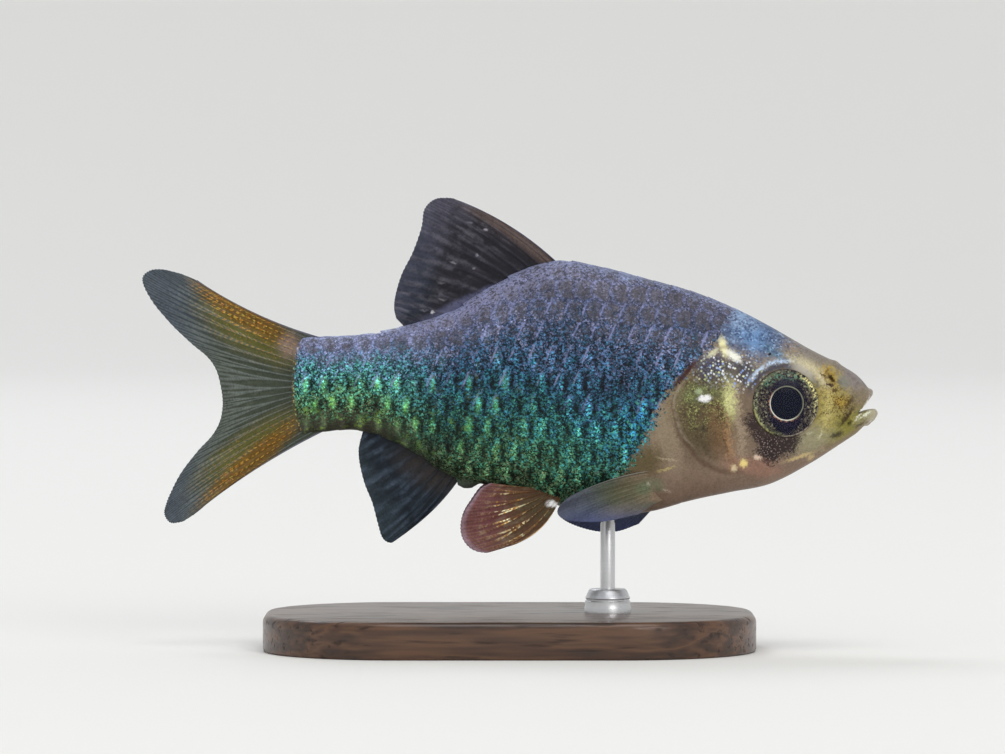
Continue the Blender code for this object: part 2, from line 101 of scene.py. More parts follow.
# The value at x of one column of the body's stations
def along(column, x):
    xs, values = body["stations"][:, 0], body["stations"][:, column]
    x = np.maximum(x, xs[0])
    last = len(xs) - 1
    before, after = np.maximum(np.arange(last + 1) - 1, 0), np.minimum(np.arange(last + 1) + 1, last)
    slopes = (values[after] - values[before]) / (xs[after] - xs[before])
    i = np.clip(np.searchsorted(xs, x) - 1, 0, last - 1)
    width = xs[i + 1] - xs[i]
    t = (x - xs[i]) / width
    return bend(values[i], values[i + 1], slopes[i] * width, slopes[i + 1] * width, t)


# Points at shares of the run through a few points in space
def curveAt(points, shares):
    points = np.asarray(points, float)
    last = len(points) - 1
    i = np.clip((shares * last).astype(int), 0, last - 1)
    before, after = np.maximum(i - 1, 0), np.minimum(i + 2, last)
    leaving, reaching = (points[i + 1] - points[before]) / 2, (points[after] - points[i]) / 2
    t = (shares * last - i)[:, None]
    return bend(points[i], points[i + 1], leaving, reaching, t)


def nose(x):
    share = np.clip((x - (body["snoutX"] - body["noseRounding"])) / body["noseRounding"], 0, 1)
    return np.sqrt(1 - share**2)


def back(x):
    return mix(body["mouthHeight"], along(1, x), nose(x))


def belly(x):
    return mix(body["mouthHeight"], along(2, x), nose(x))


def halfWidth(x):
    taper = mix(1.0, body["tailTaper"], ease((-16.5 - x) / 1.45))
    return along(3, x) * nose(x) * taper


def widest(x):
    return mix(body["mouthHeight"], along(4, x), nose(x))


def fullness(x, cosine):
    trunk = mix(body["bellyFullness"], body["backFullness"], (1 + cosine) / 2)
    cheek = ease((x - body["cheekBackX"]) / (body["cheekFrontX"] - body["cheekBackX"]))
    return mix(trunk, body["cheekFullness"], cheek)


def sway(x):
    share = np.maximum(body["swayFrontX"] - x, 0) / (body["swayFrontX"] - body["tailTipX"])
    return body["tailSway"] * share**2


# Points of the smooth body at x and at an angle that is 0 on the back and pi on the belly
def bodySpots(x, angle):
    cosine, sine = np.cos(angle), np.sin(angle)
    reach = np.where(cosine > 0, back(x) - widest(x), widest(x) - belly(x))
    side = np.sign(sine) * np.abs(sine) ** fullness(x, cosine)
    return np.stack([x, halfWidth(x) * side + sway(x), widest(x) + reach * cosine], 1)


# Half width of the body at x and at a height
def sideOf(x, height):
    x, height = np.asarray(x, float), np.asarray(height, float)
    reach = np.where(height > widest(x), back(x) - widest(x), widest(x) - belly(x))
    cosine = np.clip((height - widest(x)) / np.maximum(reach, 1e-6), -1, 1)
    return halfWidth(x) * np.sqrt(1 - cosine**2) ** fullness(x, cosine)


def bellyAt(x, y):
    sine = (y / halfWidth(x)) ** (1 / body["bellyFullness"])
    return widest(x) - (widest(x) - belly(x)) * np.sqrt(1 - sine**2)


# Distance of points of the side view from the straight stretch between two others
def fromStretch(x, height, start, end):
    run = np.subtract(end, start)
    share = np.clip(((x - start[0]) * run[0] + (height - start[1]) * run[1]) / (run @ run), 0, 1)
    return np.hypot(x - start[0] - run[0] * share, height - start[1] - run[1] * share)


# Making and finishing meshes

# Moves every point of a mesh by one function on an array of points
def mould(bm, shape):
    spots = shape(np.array([vert.co for vert in bm.verts]))
    for vert, spot in zip(bm.verts, spots):
        vert.co = spot


# An object of a mesh in millimetres, its heights counted from the fish's axis
def newPiece(name, bm, lift=body["axisHeight"]):
    bmesh.ops.translate(bm, verts=bm.verts, vec=(0, 0, lift))
    bmesh.ops.scale(bm, verts=bm.verts, vec=(mm, mm, mm))
    bm.normal_update()
    bmesh.ops.recalc_face_normals(bm, faces=bm.faces)
    mesh = bpy.data.meshes.new(name)
    bm.to_mesh(mesh)
    bm.free()
    mesh.shade_smooth()
    made = bpy.data.objects.new(name, mesh)
    bpy.context.scene.collection.objects.link(made)
    return made


# The object's modifiers are applied to its mesh
def applied(thing):
    bpy.context.view_layer.update()
    graph = bpy.context.evaluated_depsgraph_get()
    mesh = bpy.data.meshes.new_from_object(thing.evaluated_get(graph))
    thing.modifiers.clear()
    thing.data = mesh
    return thing


def meshSpots(mesh):
    flat = np.empty(len(mesh.vertices) * 3)
    mesh.vertices.foreach_get("co", flat)
    return flat.reshape(-1, 3)


def setSpots(mesh, spots):
    mesh.vertices.foreach_set("co", spots.ravel())
    mesh.update()


# A value or a point for each vertex, which materials read by its name
def addAttribute(mesh, name, values):
    values = np.asarray(values, np.float32)
    kind, field = ("FLOAT", "value") if values.ndim == 1 else ("FLOAT_VECTOR", "vector")
    mesh.attributes.new(name, kind, "POINT").data.foreach_set(field, values.ravel())


def dress(piece, finish, slotName, *nodes):
    piece.data.materials.clear()
    piece.data.materials.append(finish)
    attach(piece, "root")
    if nodes:
        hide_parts(*nodes)
    print("made", piece.name, len(piece.data.polygons), "faces")


# Writing materials: arithmetic on a Wire adds Math nodes

class Wire:
    def __init__(self, finish, socket):
        self.finish = finish
        self.socket = socket

    def __add__(self, other):
        return self.finish.maths("ADD", self, other)

    def __sub__(self, other):
        return self.finish.maths("SUBTRACT", self, other)

    def __rsub__(self, other):
        return self.finish.maths("SUBTRACT", other, self)

    def __mul__(self, other):
        return self.finish.maths("MULTIPLY", self, other)

    def __truediv__(self, other):
        return self.finish.maths("DIVIDE", self, other)

    def __pow__(self, other):
        return self.finish.maths("POWER", self, other)

    __radd__ = __add__
    __rmul__ = __mul__


class Finish:
    def __init__(self, name, fixed):
        self.material = bpy.data.materials.new(name)
        self.material.use_nodes = True
        self.tree = self.material.node_tree
        self.shader = self.tree.nodes["Principled BSDF"]
        for socket, value in fixed.items():
            self.shader.inputs[socket].default_value = value

    def feed(self, socket, value):
        if isinstance(value, Wire):
            self.tree.links.new(value.socket, socket)
        else:
            socket.default_value = value

    def node(self, kind, settings, inputs, output=0):
        made = self.tree.nodes.new("ShaderNode" + kind)
        for name, value in settings.items():
            if name == "stops":
                while len(made.color_ramp.elements) < len(value):
                    made.color_ramp.elements.new(0.5)
                for element, (place, colour) in zip(made.color_ramp.elements, value):
                    element.position = place
                    element.color = colour
            else:
                setattr(made, name, value)
        for socket, value in inputs.items():
            self.feed(made.inputs[socket], value)
        return Wire(self, made.outputs[output])

    def maths(self, operation, *values):
        return self.node("Math", {"operation": operation}, dict(enumerate(values)))

    # Object coordinates in millimetres, with heights from the fish's axis
    def place(self):
        where = self.node("TexCoord", {}, {}, "Object")
        settings = {"vector_type": "POINT"}
        return self.node("Mapping", settings, {
            "Vector": where, "Scale": (1000, 1000, 1000), "Location": (0, 0, -body["axisHeight"]),
        })

    def parts(self, vector):
        cut = self.node("SeparateXYZ", {}, {"Vector": vector})
        return [Wire(self, socket) for socket in cut.socket.node.outputs]

    def attribute(self, name, output="Fac"):
        return self.node("Attribute", {"attribute_name": name}, {}, output)

    # Fades from 0 at low to 1 at high
    def fade(self, value, low, high):
        settings = {"interpolation_type": "SMOOTHSTEP", "clamp": True}
        if low < high:
            return self.node("MapRange", settings, {"Value": value, "From Min": low, "From Max": high})
        return self.node("MapRange", settings, {
            "Value": value, "From Min": high, "From Max": low, "To Min": 1.0, "To Max": 0.0,
        })

    def hump(self, value, middle, width):
        off = (value - middle) / width
        return self.maths("EXPONENT", off * off * -1.0)

    def layer(self, under, over, mask):
        settings = {"data_type": "RGBA", "clamp_factor": True}
        return self.node("Mix", settings, {0: mask, 6: under, 7: over}, 2)

    def scaled(self, vector, factor):
        return self.node("VectorMath", {"operation": "SCALE"}, {0: vector, "Scale": factor})

    def ramp(self, value, stops):
        return self.node("ValToRGB", {"stops": stops}, {"Fac": value})

    # Noise from 0 to 1 with lumps of a size
    def noise(self, where, size, detail=2.0, output="Fac"):
        return self.node("TexNoise", {}, {
            "Vector": where, "Scale": 1 / size, "Detail": detail, "Roughness": 0.6,
        }, output)

    # Cells of a size: distance to the middle, in cell sizes, and three random values
    def cells(self, where, size):
        found = self.node("TexVoronoi", {}, {"Vector": where, "Scale": 1 / size})
        luck = self.parts(Wire(self, found.socket.node.outputs["Color"]))
        return found, luck

    # The place pushed about by noise, which makes the edges of markings uneven
    def shaken(self, where, size, reach):
        push = self.node("VectorMath", {"operation": "SUBTRACT"}, {
            0: self.noise(where, size, 2.0, "Color"), 1: (0.5, 0.5, 0.5),
        })
        return self.node("VectorMath", {"operation": "MULTIPLY_ADD"}, {0: push, 1: (reach,) * 3, 2: where})

    # The place thrown about cell by cell, which makes the edges of markings grainy
    def strewn(self, where, size, reach):
        cell = self.node("TexVoronoi", {}, {"Vector": where, "Scale": 1 / size}, "Color")
        push = self.node("VectorMath", {"operation": "SUBTRACT"}, {0: cell, 1: (0.5, 0.5, 0.5)})
        return self.node("VectorMath", {"operation": "MULTIPLY_ADD"}, {0: push, 1: (reach,) * 3, 2: where})

    # A soft ellipse in the side view, the same on both sides of the fish
    def patch(self, where, centre, radii, tilt=0.0, soft=0.4):
        local = self.node("Mapping", {"vector_type": "TEXTURE"}, {
            "Vector": where, "Location": (centre[0], 0, centre[1]),
            "Rotation": (0, math.radians(-tilt), 0), "Scale": (radii[0], 1e4, radii[1]),
        })
        distance = self.node("VectorMath", {"operation": "LENGTH"}, {0: local}, "Value")
        return self.fade(distance, 1 + soft, 1 - soft)

    def bump(self, height, depth):
        made = self.node("Bump", {}, {"Height": height, "Distance": depth * mm, "Strength": 1.0})
        self.feed(self.shader.inputs["Normal"], made)

    def finish(self, **wires):
        sockets = {"colour": "Base Color", "roughness": "Roughness", "metallic": "Metallic",
                   "coat": "Coat Weight", "alpha": "Alpha"}
        for name, value in wires.items():
            self.feed(self.shader.inputs[sockets[name]], value)
        return self.material


daylight = 0.85  # the share of a side face's colour that the studio's light gives back


# The colour that a surface needs to show as a screen colour, each part 0 to 255
def tint(red, green, blue):
    shares = [part / 255 for part in (red, green, blue)]
    linear = [s / 12.92 if s <= 0.04045 else ((s + 0.055) / 1.055) ** 2.4 for s in shares]
    return (*[min(part / daylight, 0.95) for part in linear], 1.0)


# The skin: body, jaws and gill covers in one surface

skinSizes = {
    "rings": 220,
    "around": 120,
    "voxel": 0.165,
    "zoom": ((-18, 0.6), (9, 0.64), (14, 1.45), (23, 1.5), (26, 2.0), (32, 2.0)),  # x, fineness
    "smoothing": 3,
    "mouthCorner": (27.5, -2.95),
    # The open mouth in the side view
    "mouthGap": ((31.5, 0.3), (29.5, -0.86), (28.55, -1.98), (27.6, -2.85), (28.5, -2.24), (29.1, -2.02),
                 (29.8, -1.9), (31.5, -1.7)),
    "lipHalfWidth": 1.6,
    "lips": ({"front": 29.3, "height": -0.58, "radius": 0.3}, {"front": 29.58, "height": -2.3, "radius": 0.4},
             {"front": 29.36, "height": -2.58, "radius": 0.44}, {"front": 29.0, "height": -2.85, "radius": 0.48}),
    "nostrilX": 26.0,
    "nostrilHeight": 0.5,
    "nostrilPit": {"ahead": 0.1, "radii": (0.3, 0.34, 0.26), "tilt": 20},
    "nostrilFlap": {"ahead": -0.25, "radii": (0.17, 0.34, 0.5), "tilt": -30},
    "vent": (-3.45, -8.0),  # the swelling before the anal fin
    "ventRadii": (1.05, 0.5, 0.6),
    "coatDepth": 0.1,  # how far the skin lies under the scales' tops
}

eyeSizes = {
    "x": 22.33,
    "height": -1.39,
    "radius": 2.75,
    "bulge": 0.72,
    "depth": 1.45,
    "sink": 0.12,
    "yaw": 11.0,
    "pupil": 1.3,
    "rimHeight": 0.1,
    "rimWidth": 0.35,
    "rimReach": 3.05,
    "dish": 0.34,
}

# The gill cover's free edge, as its distance from a point at angles up from the tailward direction
gill = {
    "centre": (18.0, -2.0),
    "angles": (-120, -90, -63, -41, -16, 10, 44, 75, 100, 130),
    "reaches": (5.2, 4.95, 4.7, 4.5, 4.62, 4.8, 4.75, 5.0, 5.1, 5.2),
    "proud": 0.08,
    "groove": 0.05,
    "cheekRidge": ((17.2, 3.4), (17.35, 1.0), (17.6, -1.4), (17.75, -3.8), (18.1, -5.6), (19.2, -6.9), (21.0, -7.2)),
    "ridgeHeight": 0.13,
    "ridgeWidth": 0.4,
}

# Where the scales end towards the head, from the belly up: height, x
fieldFront = np.array([(-11, 5.6), (-8.5, 8.6), (-6.3, 10.05), (-4.9, 10.85), (-3.3, 11.7), (-1.2, 12.5),
                       (0.6, 13.9), (3.0, 16.3), (6.1, 18.5), (9, 18.9)])


# How far a point of the side view is inside the field of scales
def fieldDepth(x, height):
    return np.interp(height, fieldFront[:, 0], fieldFront[:, 1]) - x


# How far a point of the side view is inside the gill cover's free edge
def gillDepth(x, height):
    tailward, up = gill["centre"][0] - x, height - gill["centre"][1]
    angle = np.degrees(np.arctan2(up, tailward))
    reach = np.interp(angle, gill["angles"], gill["reaches"])
    reach = reach + 0.07 * np.sin(np.radians(angle * 4 + 30)) + 0.03 * np.sin(np.radians(angle * 11))
    return np.where(tailward > -6, reach - np.hypot(tailward, up), -9.0)


def fromCurve(points, x, height):
    spots = curveAt([(px, 0, ph) for px, ph in points], np.linspace(0, 1, 40))
    return np.min([fromStretch(x, height, a[[0, 2]], b[[0, 2]]) for a, b in zip(spots, spots[1:])], axis=0)


# Share of the way from the belly's edge to the back's
def upTheBody(x, height):
    x = np.clip(x, body["tailEndX"], body["snoutX"] - 0.3)
    return np.clip((height - belly(x)) / (back(x) - belly(x)), 0, 1)


zoomTable = np.linspace(-20, 34, 1200)
zoomFineness = np.interp(zoomTable, *np.transpose(skinSizes["zoom"]))
zoomPlaces = np.cumsum(zoomFineness) * (zoomTable[1] - zoomTable[0])


# Enlarges the head and shrinks the trunk, so that the remesh is finest on the face
def zoomed(spots):
    fineness = np.interp(spots[:, 0], zoomTable, zoomFineness)
    x = np.interp(spots[:, 0], zoomTable, zoomPlaces)
    return np.stack([x, spots[:, 1] * fineness, spots[:, 2] * fineness], 1)


def unzoomed(spots):
    x = np.interp(spots[:, 0], zoomPlaces, zoomTable)
    fineness = np.interp(x, zoomTable, zoomFineness)
    return np.stack([x, spots[:, 1] / fineness, spots[:, 2] / fineness], 1)


def bodyShell():
    bm = bmesh.new()
    bmesh.ops.create_grid(bm, x_segments=skinSizes["rings"], y_segments=skinSizes["around"], size=0.5)

    def shape(spots):
        share = spots[:, 0] + 0.5
        crowded = mix(share, np.sin(share * math.pi / 2), 0.5)
        x = mix(body["tailEndX"], body["snoutX"], crowded)
        return bodySpots(x, (spots[:, 1] + 0.5) * 2 * math.pi)

    mould(bm, shape)
    bmesh.ops.remove_doubles(bm, verts=bm.verts, dist=1e-5)
    bmesh.ops.holes_fill(bm, edges=bm.edges, sides=0)
    return newPiece("shell", bm)


def lipTube(sizes):
    bm = bmesh.new()
    bmesh.ops.create_grid(bm, x_segments=36, y_segments=16, size=0.5)

    def shape(spots):
        turn, around = spots[:, 0] * math.pi, spots[:, 1] * 2 * math.pi
        cornerX, cornerHeight = skinSizes["mouthCorner"]
        radius = sizes["radius"] * mix(0.7, 1.0, np.cos(turn))
        out = radius * np.cos(around)
        x = cornerX + (sizes["front"] - cornerX + out) * np.cos(turn)
        y = (skinSizes["lipHalfWidth"] + out) * np.sin(turn)
        height = mix(cornerHeight, sizes["height"], np.cos(turn)) + radius * np.sin(around)
        return np.stack([x, y, height], 1)

    mould(bm, shape)
    bmesh.ops.remove_doubles(bm, verts=bm.verts, dist=1e-5)
    bmesh.ops.holes_fill(bm, edges=bm.edges, sides=0)
    return newPiece("lip", bm)


def mouthWedge():
    bm = bmesh.new()
    rim = [bm.verts.new((x, -4, height)) for x, height in skinSizes["mouthGap"]]
    side = bm.faces.new(rim)
    grown = bmesh.ops.extrude_face_region(bm, geom=[side])["geom"]
    bmesh.ops.translate(bm, verts=[v for v in grown if isinstance(v, bmesh.types.BMVert)], vec=(0, 8, 0))
    bmesh.ops.triangulate(bm, faces=bm.faces)
    return newPiece("mouthWedge", bm)


def lump(x, y, height, radii, tilt):
    bm = bmesh.new()
    bmesh.ops.create_icosphere(bm, subdivisions=3, radius=1.0)
    bm.transform(Matrix.Diagonal((*radii, 1.0)))
    bm.transform(Matrix.Rotation(math.radians(tilt), 4, "Y"))
    bm.transform(Matrix.Translation((x, y, height)))
    return newPiece("lump", bm)


def nostrilPiece(side, sizes):
    x = skinSizes["nostrilX"] + sizes["ahead"]
    height = skinSizes["nostrilHeight"]
    return lump(x, side * float(sideOf(x, height)), height, sizes["radii"], sizes["tilt"])


def boolean(target, operation, pieces):
    group = bpy.data.collections.new("boolean")
    for piece in pieces:
        group.objects.link(piece)
    modifier = target.modifiers.new("boolean", "BOOLEAN")
    modifier.operation = operation
    modifier.solver = "MANIFOLD"
    modifier.operand_type = "COLLECTION"
    modifier.collection = group
    applied(target)
    for piece in pieces:
        bpy.data.objects.remove(piece)
    bpy.data.collections.remove(group)


# Relief of the head, as distance outwards: eye socket, gill cover, cheek, jaw and snout
def relief(x, height):
    fromEye = np.hypot(x - eyeSizes["x"], height - eyeSizes["height"])
    out = eyeSizes["rimHeight"] * hump(fromEye - eyeSizes["rimReach"], eyeSizes["rimWidth"])
    out -= eyeSizes["dish"] * ease((eyeSizes["radius"] - 0.02 - fromEye) / 0.5)

    depth = gillDepth(x, height)
    behind = 1 - ease((x - 18.2) / 1.6)
    upper = ease((height - 0.2) / 1.6)
    out += gill["proud"] * ease((depth + 0.05) / 0.3) * behind * (1 - 0.75 * ease((height - 1.6) / 2))
    out -= gill["groove"] * (1 + upper * 1.5) * hump(depth + 0.2, 0.18) * behind
    out -= 0.05 * hump(depth - 0.75, 0.3) * behind * (1 - upper)

    fromRidge = fromCurve(gill["cheekRidge"], x, height)
    out += gill["ridgeHeight"] * hump(fromRidge, gill["ridgeWidth"])
    out -= 0.09 * hump(fromCurve([(px - 0.55, ph) for px, ph in gill["cheekRidge"][:5]], x, height), 0.22)

    out -= 0.16 * hump(fromStretch(x, height, (28.35, 0.1), (26.9, -3.25)), 0.2)  # behind the upper jaw's bone
    out += 0.08 * hump(fromStretch(x, height, (28.75, -0.4), (27.4, -3.0)), 0.28)
    out -= 0.13 * hump(fromStretch(x, height, (27.5, -2.95), (25.6, -5.0)), 0.2)  # under the lower jaw
    out -= 0.07 * hump(fromStretch(x, height, (25.6, -5.0), (22.0, -6.9)), 0.25)
    out -= 0.08 * hump(fromStretch(x, height, (25.4, -3.4), (20.6, -4.9)), 0.22)  # plates under the eye
    out -= 0.05 * hump(fromStretch(x, height, (24.6, 1.5), (26.2, -2.2)), 0.25)
    out += 0.10 * hump(fromStretch(x, height, (19.0, 1.7), (21.4, 2.1)), 0.5)
    out += 0.24 * hump(fromStretch(x, height, (12.5, -7.0), (12.5, -8.1)), 0.75)  # under the pectoral fin
    return out


# Points of an unwrap of the body: the right side below, the left side above
def unwrapPlaces(x, angle, side):
    u = 0.02 + 0.96 * (x - body["tailEndX"]) / (body["snoutX"] + 1.2 - body["tailEndX"])
    v = 0.03 + 0.44 * angle / math.pi + np.where(side > 0, 0.5, 0.0)
    return np.stack([np.clip(u, 0, 1), np.clip(v, 0, 1)], -1)


# The angle round the body at which a point lies, from 0 on the back to pi on the belly
def angleOf(x, y, height, side):
    x = np.clip(x, body["tailEndX"], body["snoutX"] - 0.5)
    across = side * (y - sway(x)) / halfWidth(x)
    reach = np.where(height > widest(x), back(x) - widest(x), widest(x) - belly(x))
    return np.arctan2(across, (height - widest(x)) / reach)


def addBakeMap(mesh, spots, faceSide):
    corners = np.empty(len(mesh.loops), int)
    mesh.loops.foreach_get("vertex_index", corners)
    totals = np.empty(len(mesh.polygons), int)
    mesh.polygons.foreach_get("loop_total", totals)
    side = np.repeat(faceSide, totals)
    x, y, height = spots[corners].T
    places = unwrapPlaces(x, angleOf(x, y, height, side), side)
    mesh.uv_layers.new(name="OFBake").data.foreach_set("uv", places.astype(np.float32).ravel())


def makeSkin():
    shell = bodyShell()
    flaps = [nostrilPiece(side, skinSizes["nostrilFlap"]) for side in (-1, 1)]
    x, height = skinSizes["vent"]
    vent = lump(x, float(sway(x)), height, skinSizes["ventRadii"], 0)
    boolean(shell, "UNION", [lipTube(sizes) for sizes in skinSizes["lips"]] + flaps + [vent])
    pits = [nostrilPiece(side, skinSizes["nostrilPit"]) for side in (-1, 1)]
    boolean(shell, "DIFFERENCE", [mouthWedge(), *pits])

    lift = np.array([0, 0, body["axisHeight"]])
    setSpots(shell.data, zoomed(meshSpots(shell.data) / mm - lift))
    remesh = shell.modifiers.new("remesh", "REMESH")
    remesh.mode = "VOXEL"
    remesh.voxel_size = skinSizes["voxel"]
    applied(shell)
    bm = bmesh.new()
    bm.from_mesh(shell.data)
    mould(bm, unzoomed)
    for _ in range(skinSizes["smoothing"]):
        bmesh.ops.smooth_vert(bm, verts=bm.verts, factor=0.5, use_axis_x=True, use_axis_y=True, use_axis_z=True)
    bm.normal_update()
    normals = np.array([vert.normal for vert in bm.verts])

    def carve(spots):
        x, y, height = spots.T
        sideways = ease((np.abs(normals[:, 1]) - 0.25) / 0.35)
        out = relief(x, height) * sideways
        out -= skinSizes["coatDepth"] * ease(fieldDepth(x, height) / 1.2)
        eye = ease((eyeSizes["rimReach"] - np.hypot(x - eyeSizes["x"], height - eyeSizes["height"])) / 0.6)
        out += 0.12 * hump(np.hypot(x - 26.6, height - 1.95), 0.38)  # the nostril's flap on the profile
        plain = np.stack([0 * x, np.sign(y), 0 * x], 1)
        return spots + mix(normals, plain, (eye * sideways)[:, None]) * out[:, None]

    mould(bm, carve)
    bmesh.ops.smooth_vert(bm, verts=bm.verts, factor=0.3, use_axis_x=True, use_axis_y=True, use_axis_z=True)
    skin = newPiece("barbSkin", bm)
    bpy.data.objects.remove(shell)

    spots = meshSpots(skin.data) / mm - lift
    x, y, height = spots.T
    addAttribute(skin.data, "upTheBody", upTheBody(x, height))
    addAttribute(skin.data, "fieldDepth", fieldDepth(x, height))
    addAttribute(skin.data, "gillDepth", gillDepth(x, height))
    addAttribute(skin.data, "ridgeDistance", fromCurve(gill["cheekRidge"], x, height))
    middles = np.empty(len(skin.data.polygons) * 3)
    skin.data.polygons.foreach_get("center", middles)
    middles = middles.reshape(-1, 3) / mm
    addBakeMap(skin.data, spots, np.where(middles[:, 1] > sway(middles[:, 0]), 1, -1))
    return skin


# Scales: rows of overlapping plates, each a closed mesh that follows the body

scaleSizes = {
    "pitch": 1.48,  # along a row
    "rowPitch": ((-18, 1.62), (-8, 1.78), (2, 1.95), (20, 1.95)),  # x, distance between rows
    "firstX": -17.15,
    "lastX": 18.4,
    "halfHeight": 1.3,
    "length": 2.5,
    "rearLift": 0.0,  # from the body's surface; the skin lies coatDepth under it
    "frontSink": 0.07,
    "thickness": 0.1,
    "segments": 6,
    "jitter": 0.05,
}

arcStations = np.linspace(-18.2, 20.5, 240)
arcAngles = np.linspace(0, math.pi, 161)


# Length round the section from its widest line, up positive, at each station and angle
def arcTable():
    x, angle = np.meshgrid(arcStations, arcAngles, indexing="ij")
    spots = bodySpots(x.ravel(), angle.ravel()).reshape(*x.shape, 3)
    steps = np.linalg.norm(np.diff(spots[:, :, 1:], axis=1), axis=2)
    lengths = np.concatenate([np.zeros((len(x), 1)), np.cumsum(steps, axis=1)], axis=1)
    return lengths[:, [80]] - lengths


arcLengths = arcTable()


# Points on the body at x and at a length round it from the widest line
def coatSpots(x, climb, side, lift):
    row = np.clip((x - arcStations[0]) / (arcStations[1] - arcStations[0]), 0, len(arcStations) - 1.001)
    i = row.astype(int)
    share = row - i
    angle = np.empty(len(x))
    for k in range(len(x)):
        lengths = mix(arcLengths[i[k]], arcLengths[i[k] + 1], share[k])
        angle[k] = np.interp(-climb[k], -lengths, arcAngles)
    spots = bodySpots(x, angle)
    ahead, round_ = bodySpots(x + 0.02, angle) - spots, bodySpots(x, np.clip(angle + 0.01, 0.011, 3.14)) - spots
    normal = np.cross(ahead, round_)
    normal *= np.sign(normal[:, [1]] + 1e-9)
    normal /= np.maximum(np.linalg.norm(normal, axis=1, keepdims=True), 1e-9)
    spots = spots + normal * lift[:, None]
    middle = sway(x)
    spots[:, 1] = middle + side * np.maximum(spots[:, 1] - middle, 0.0)
    return spots, angle


def scaleTemplate():
    bm = bmesh.new()
    segments = scaleSizes["segments"]
    bmesh.ops.create_grid(bm, x_segments=segments, y_segments=segments, size=1.0)

    def shape(spots):  # a square to a round plate
        u, v = spots[:, 0], spots[:, 1]
        return np.stack([u * np.sqrt(1 - v * v / 2), v * np.sqrt(1 - u * u / 2), 0 * u], 1)

    mould(bm, shape)
    rim = [e for e in bm.edges if e.is_boundary]
    grown = bmesh.ops.extrude_edge_only(bm, edges=rim)["geom"]
    low = [v for v in grown if isinstance(v, bmesh.types.BMVert)]
    bmesh.ops.translate(bm, verts=low, vec=(0, 0, -1))
    bmesh.ops.contextual_create(bm, geom=[e for e in grown if isinstance(e, bmesh.types.BMEdge)])
    bm.normal_update()
    bmesh.ops.recalc_face_normals(bm, faces=bm.faces)
    mesh = bpy.data.meshes.new("scaleTemplate")
    bm.to_mesh(mesh)
    bm.free()
    return mesh


def makeScales(side, name):
    template = scaleTemplate()
    round_ = meshSpots(template)
    roots = []
    for row in range(-7, 8):
        x = scaleSizes["firstX"] + (row % 2) * scaleSizes["pitch"] / 2
        while x < scaleSizes["lastX"]:
            climb = row * np.interp(x, *np.transpose(scaleSizes["rowPitch"]))
            lengths = arcLengths[int(np.argmin(np.abs(arcStations - x)))]
            if lengths[-1] - 0.5 < climb < lengths[0] + 0.5:
                roots.append((x, climb))
            x += scaleSizes["pitch"]
    roots = np.array(roots)
    roots += draws.uniform(-1, 1, roots.shape) * scaleSizes["jitter"]
    middles = coatSpots(roots[:, 0], roots[:, 1], side, np.zeros(len(roots)))[0]
    roots = roots[fieldDepth(middles[:, 0], middles[:, 2]) > 0.1]

    bm = bmesh.new()
    for _ in roots:
        bm.from_mesh(template)
    count, each = len(roots), len(round_)
    forward = np.tile(round_[:, 0] + 1, count) / 2 * scaleSizes["length"]
    across = np.tile(round_[:, 1], count)
    low = np.tile(round_[:, 2], count) < -0.5
    rim = np.tile(np.hypot(round_[:, 0], round_[:, 1]), count)
    size = np.repeat(draws.uniform(0.95, 1.05, count), each)
    x = np.repeat(roots[:, 0], each) + forward * size
    rows = np.interp(x, *np.transpose(scaleSizes["rowPitch"])) / 1.95
    climb = np.repeat(roots[:, 1], each) + across * scaleSizes["halfHeight"] * size * rows
    top = mix(scaleSizes["rearLift"], -scaleSizes["frontSink"], forward / scaleSizes["length"])
    lift = np.where(low, top - scaleSizes["thickness"], top)
    spots, angle = coatSpots(x, climb, side, lift)
    mould(bm, lambda old: spots)
    piece = newPiece(name, bm)
    piece.data.set_sharp_from_angle(angle=math.radians(35))

    mesh = piece.data
    x, y, height = spots.T
    addAttribute(mesh, "upTheBody", upTheBody(x, height))
    addAttribute(mesh, "fieldDepth", fieldDepth(x, height))
    addAttribute(mesh, "scalePlace", np.stack([forward, across * scaleSizes["halfHeight"], rim], 1))
    addAttribute(mesh, "scaleLuck", np.repeat(draws.uniform(0, 1, count), each))

    # Each scale has its own cell round its root's place on the unwrap
    rootSpots, rootAngle = coatSpots(roots[:, 0], roots[:, 1], side, np.zeros(count))
    cell = unwrapPlaces(roots[:, 0] + 1, rootAngle, np.full(count, side))
    inCell = np.stack([np.where(low, 1.12, 1) * np.tile(round_[:, k], count) for k in (0, 1)], 1)
    places = np.repeat(cell, each, axis=0) + inCell * np.array([0.0105, 0.0135])
    corners = np.empty(len(mesh.loops), int)
    mesh.loops.foreach_get("vertex_index", corners)
    mesh.uv_layers.new(name="OFBake").data.foreach_set("uv", places[corners].astype(np.float32).ravel())
    print("scales on one side:", count)
    return piece


# The colours that skin and scales share, over the side view

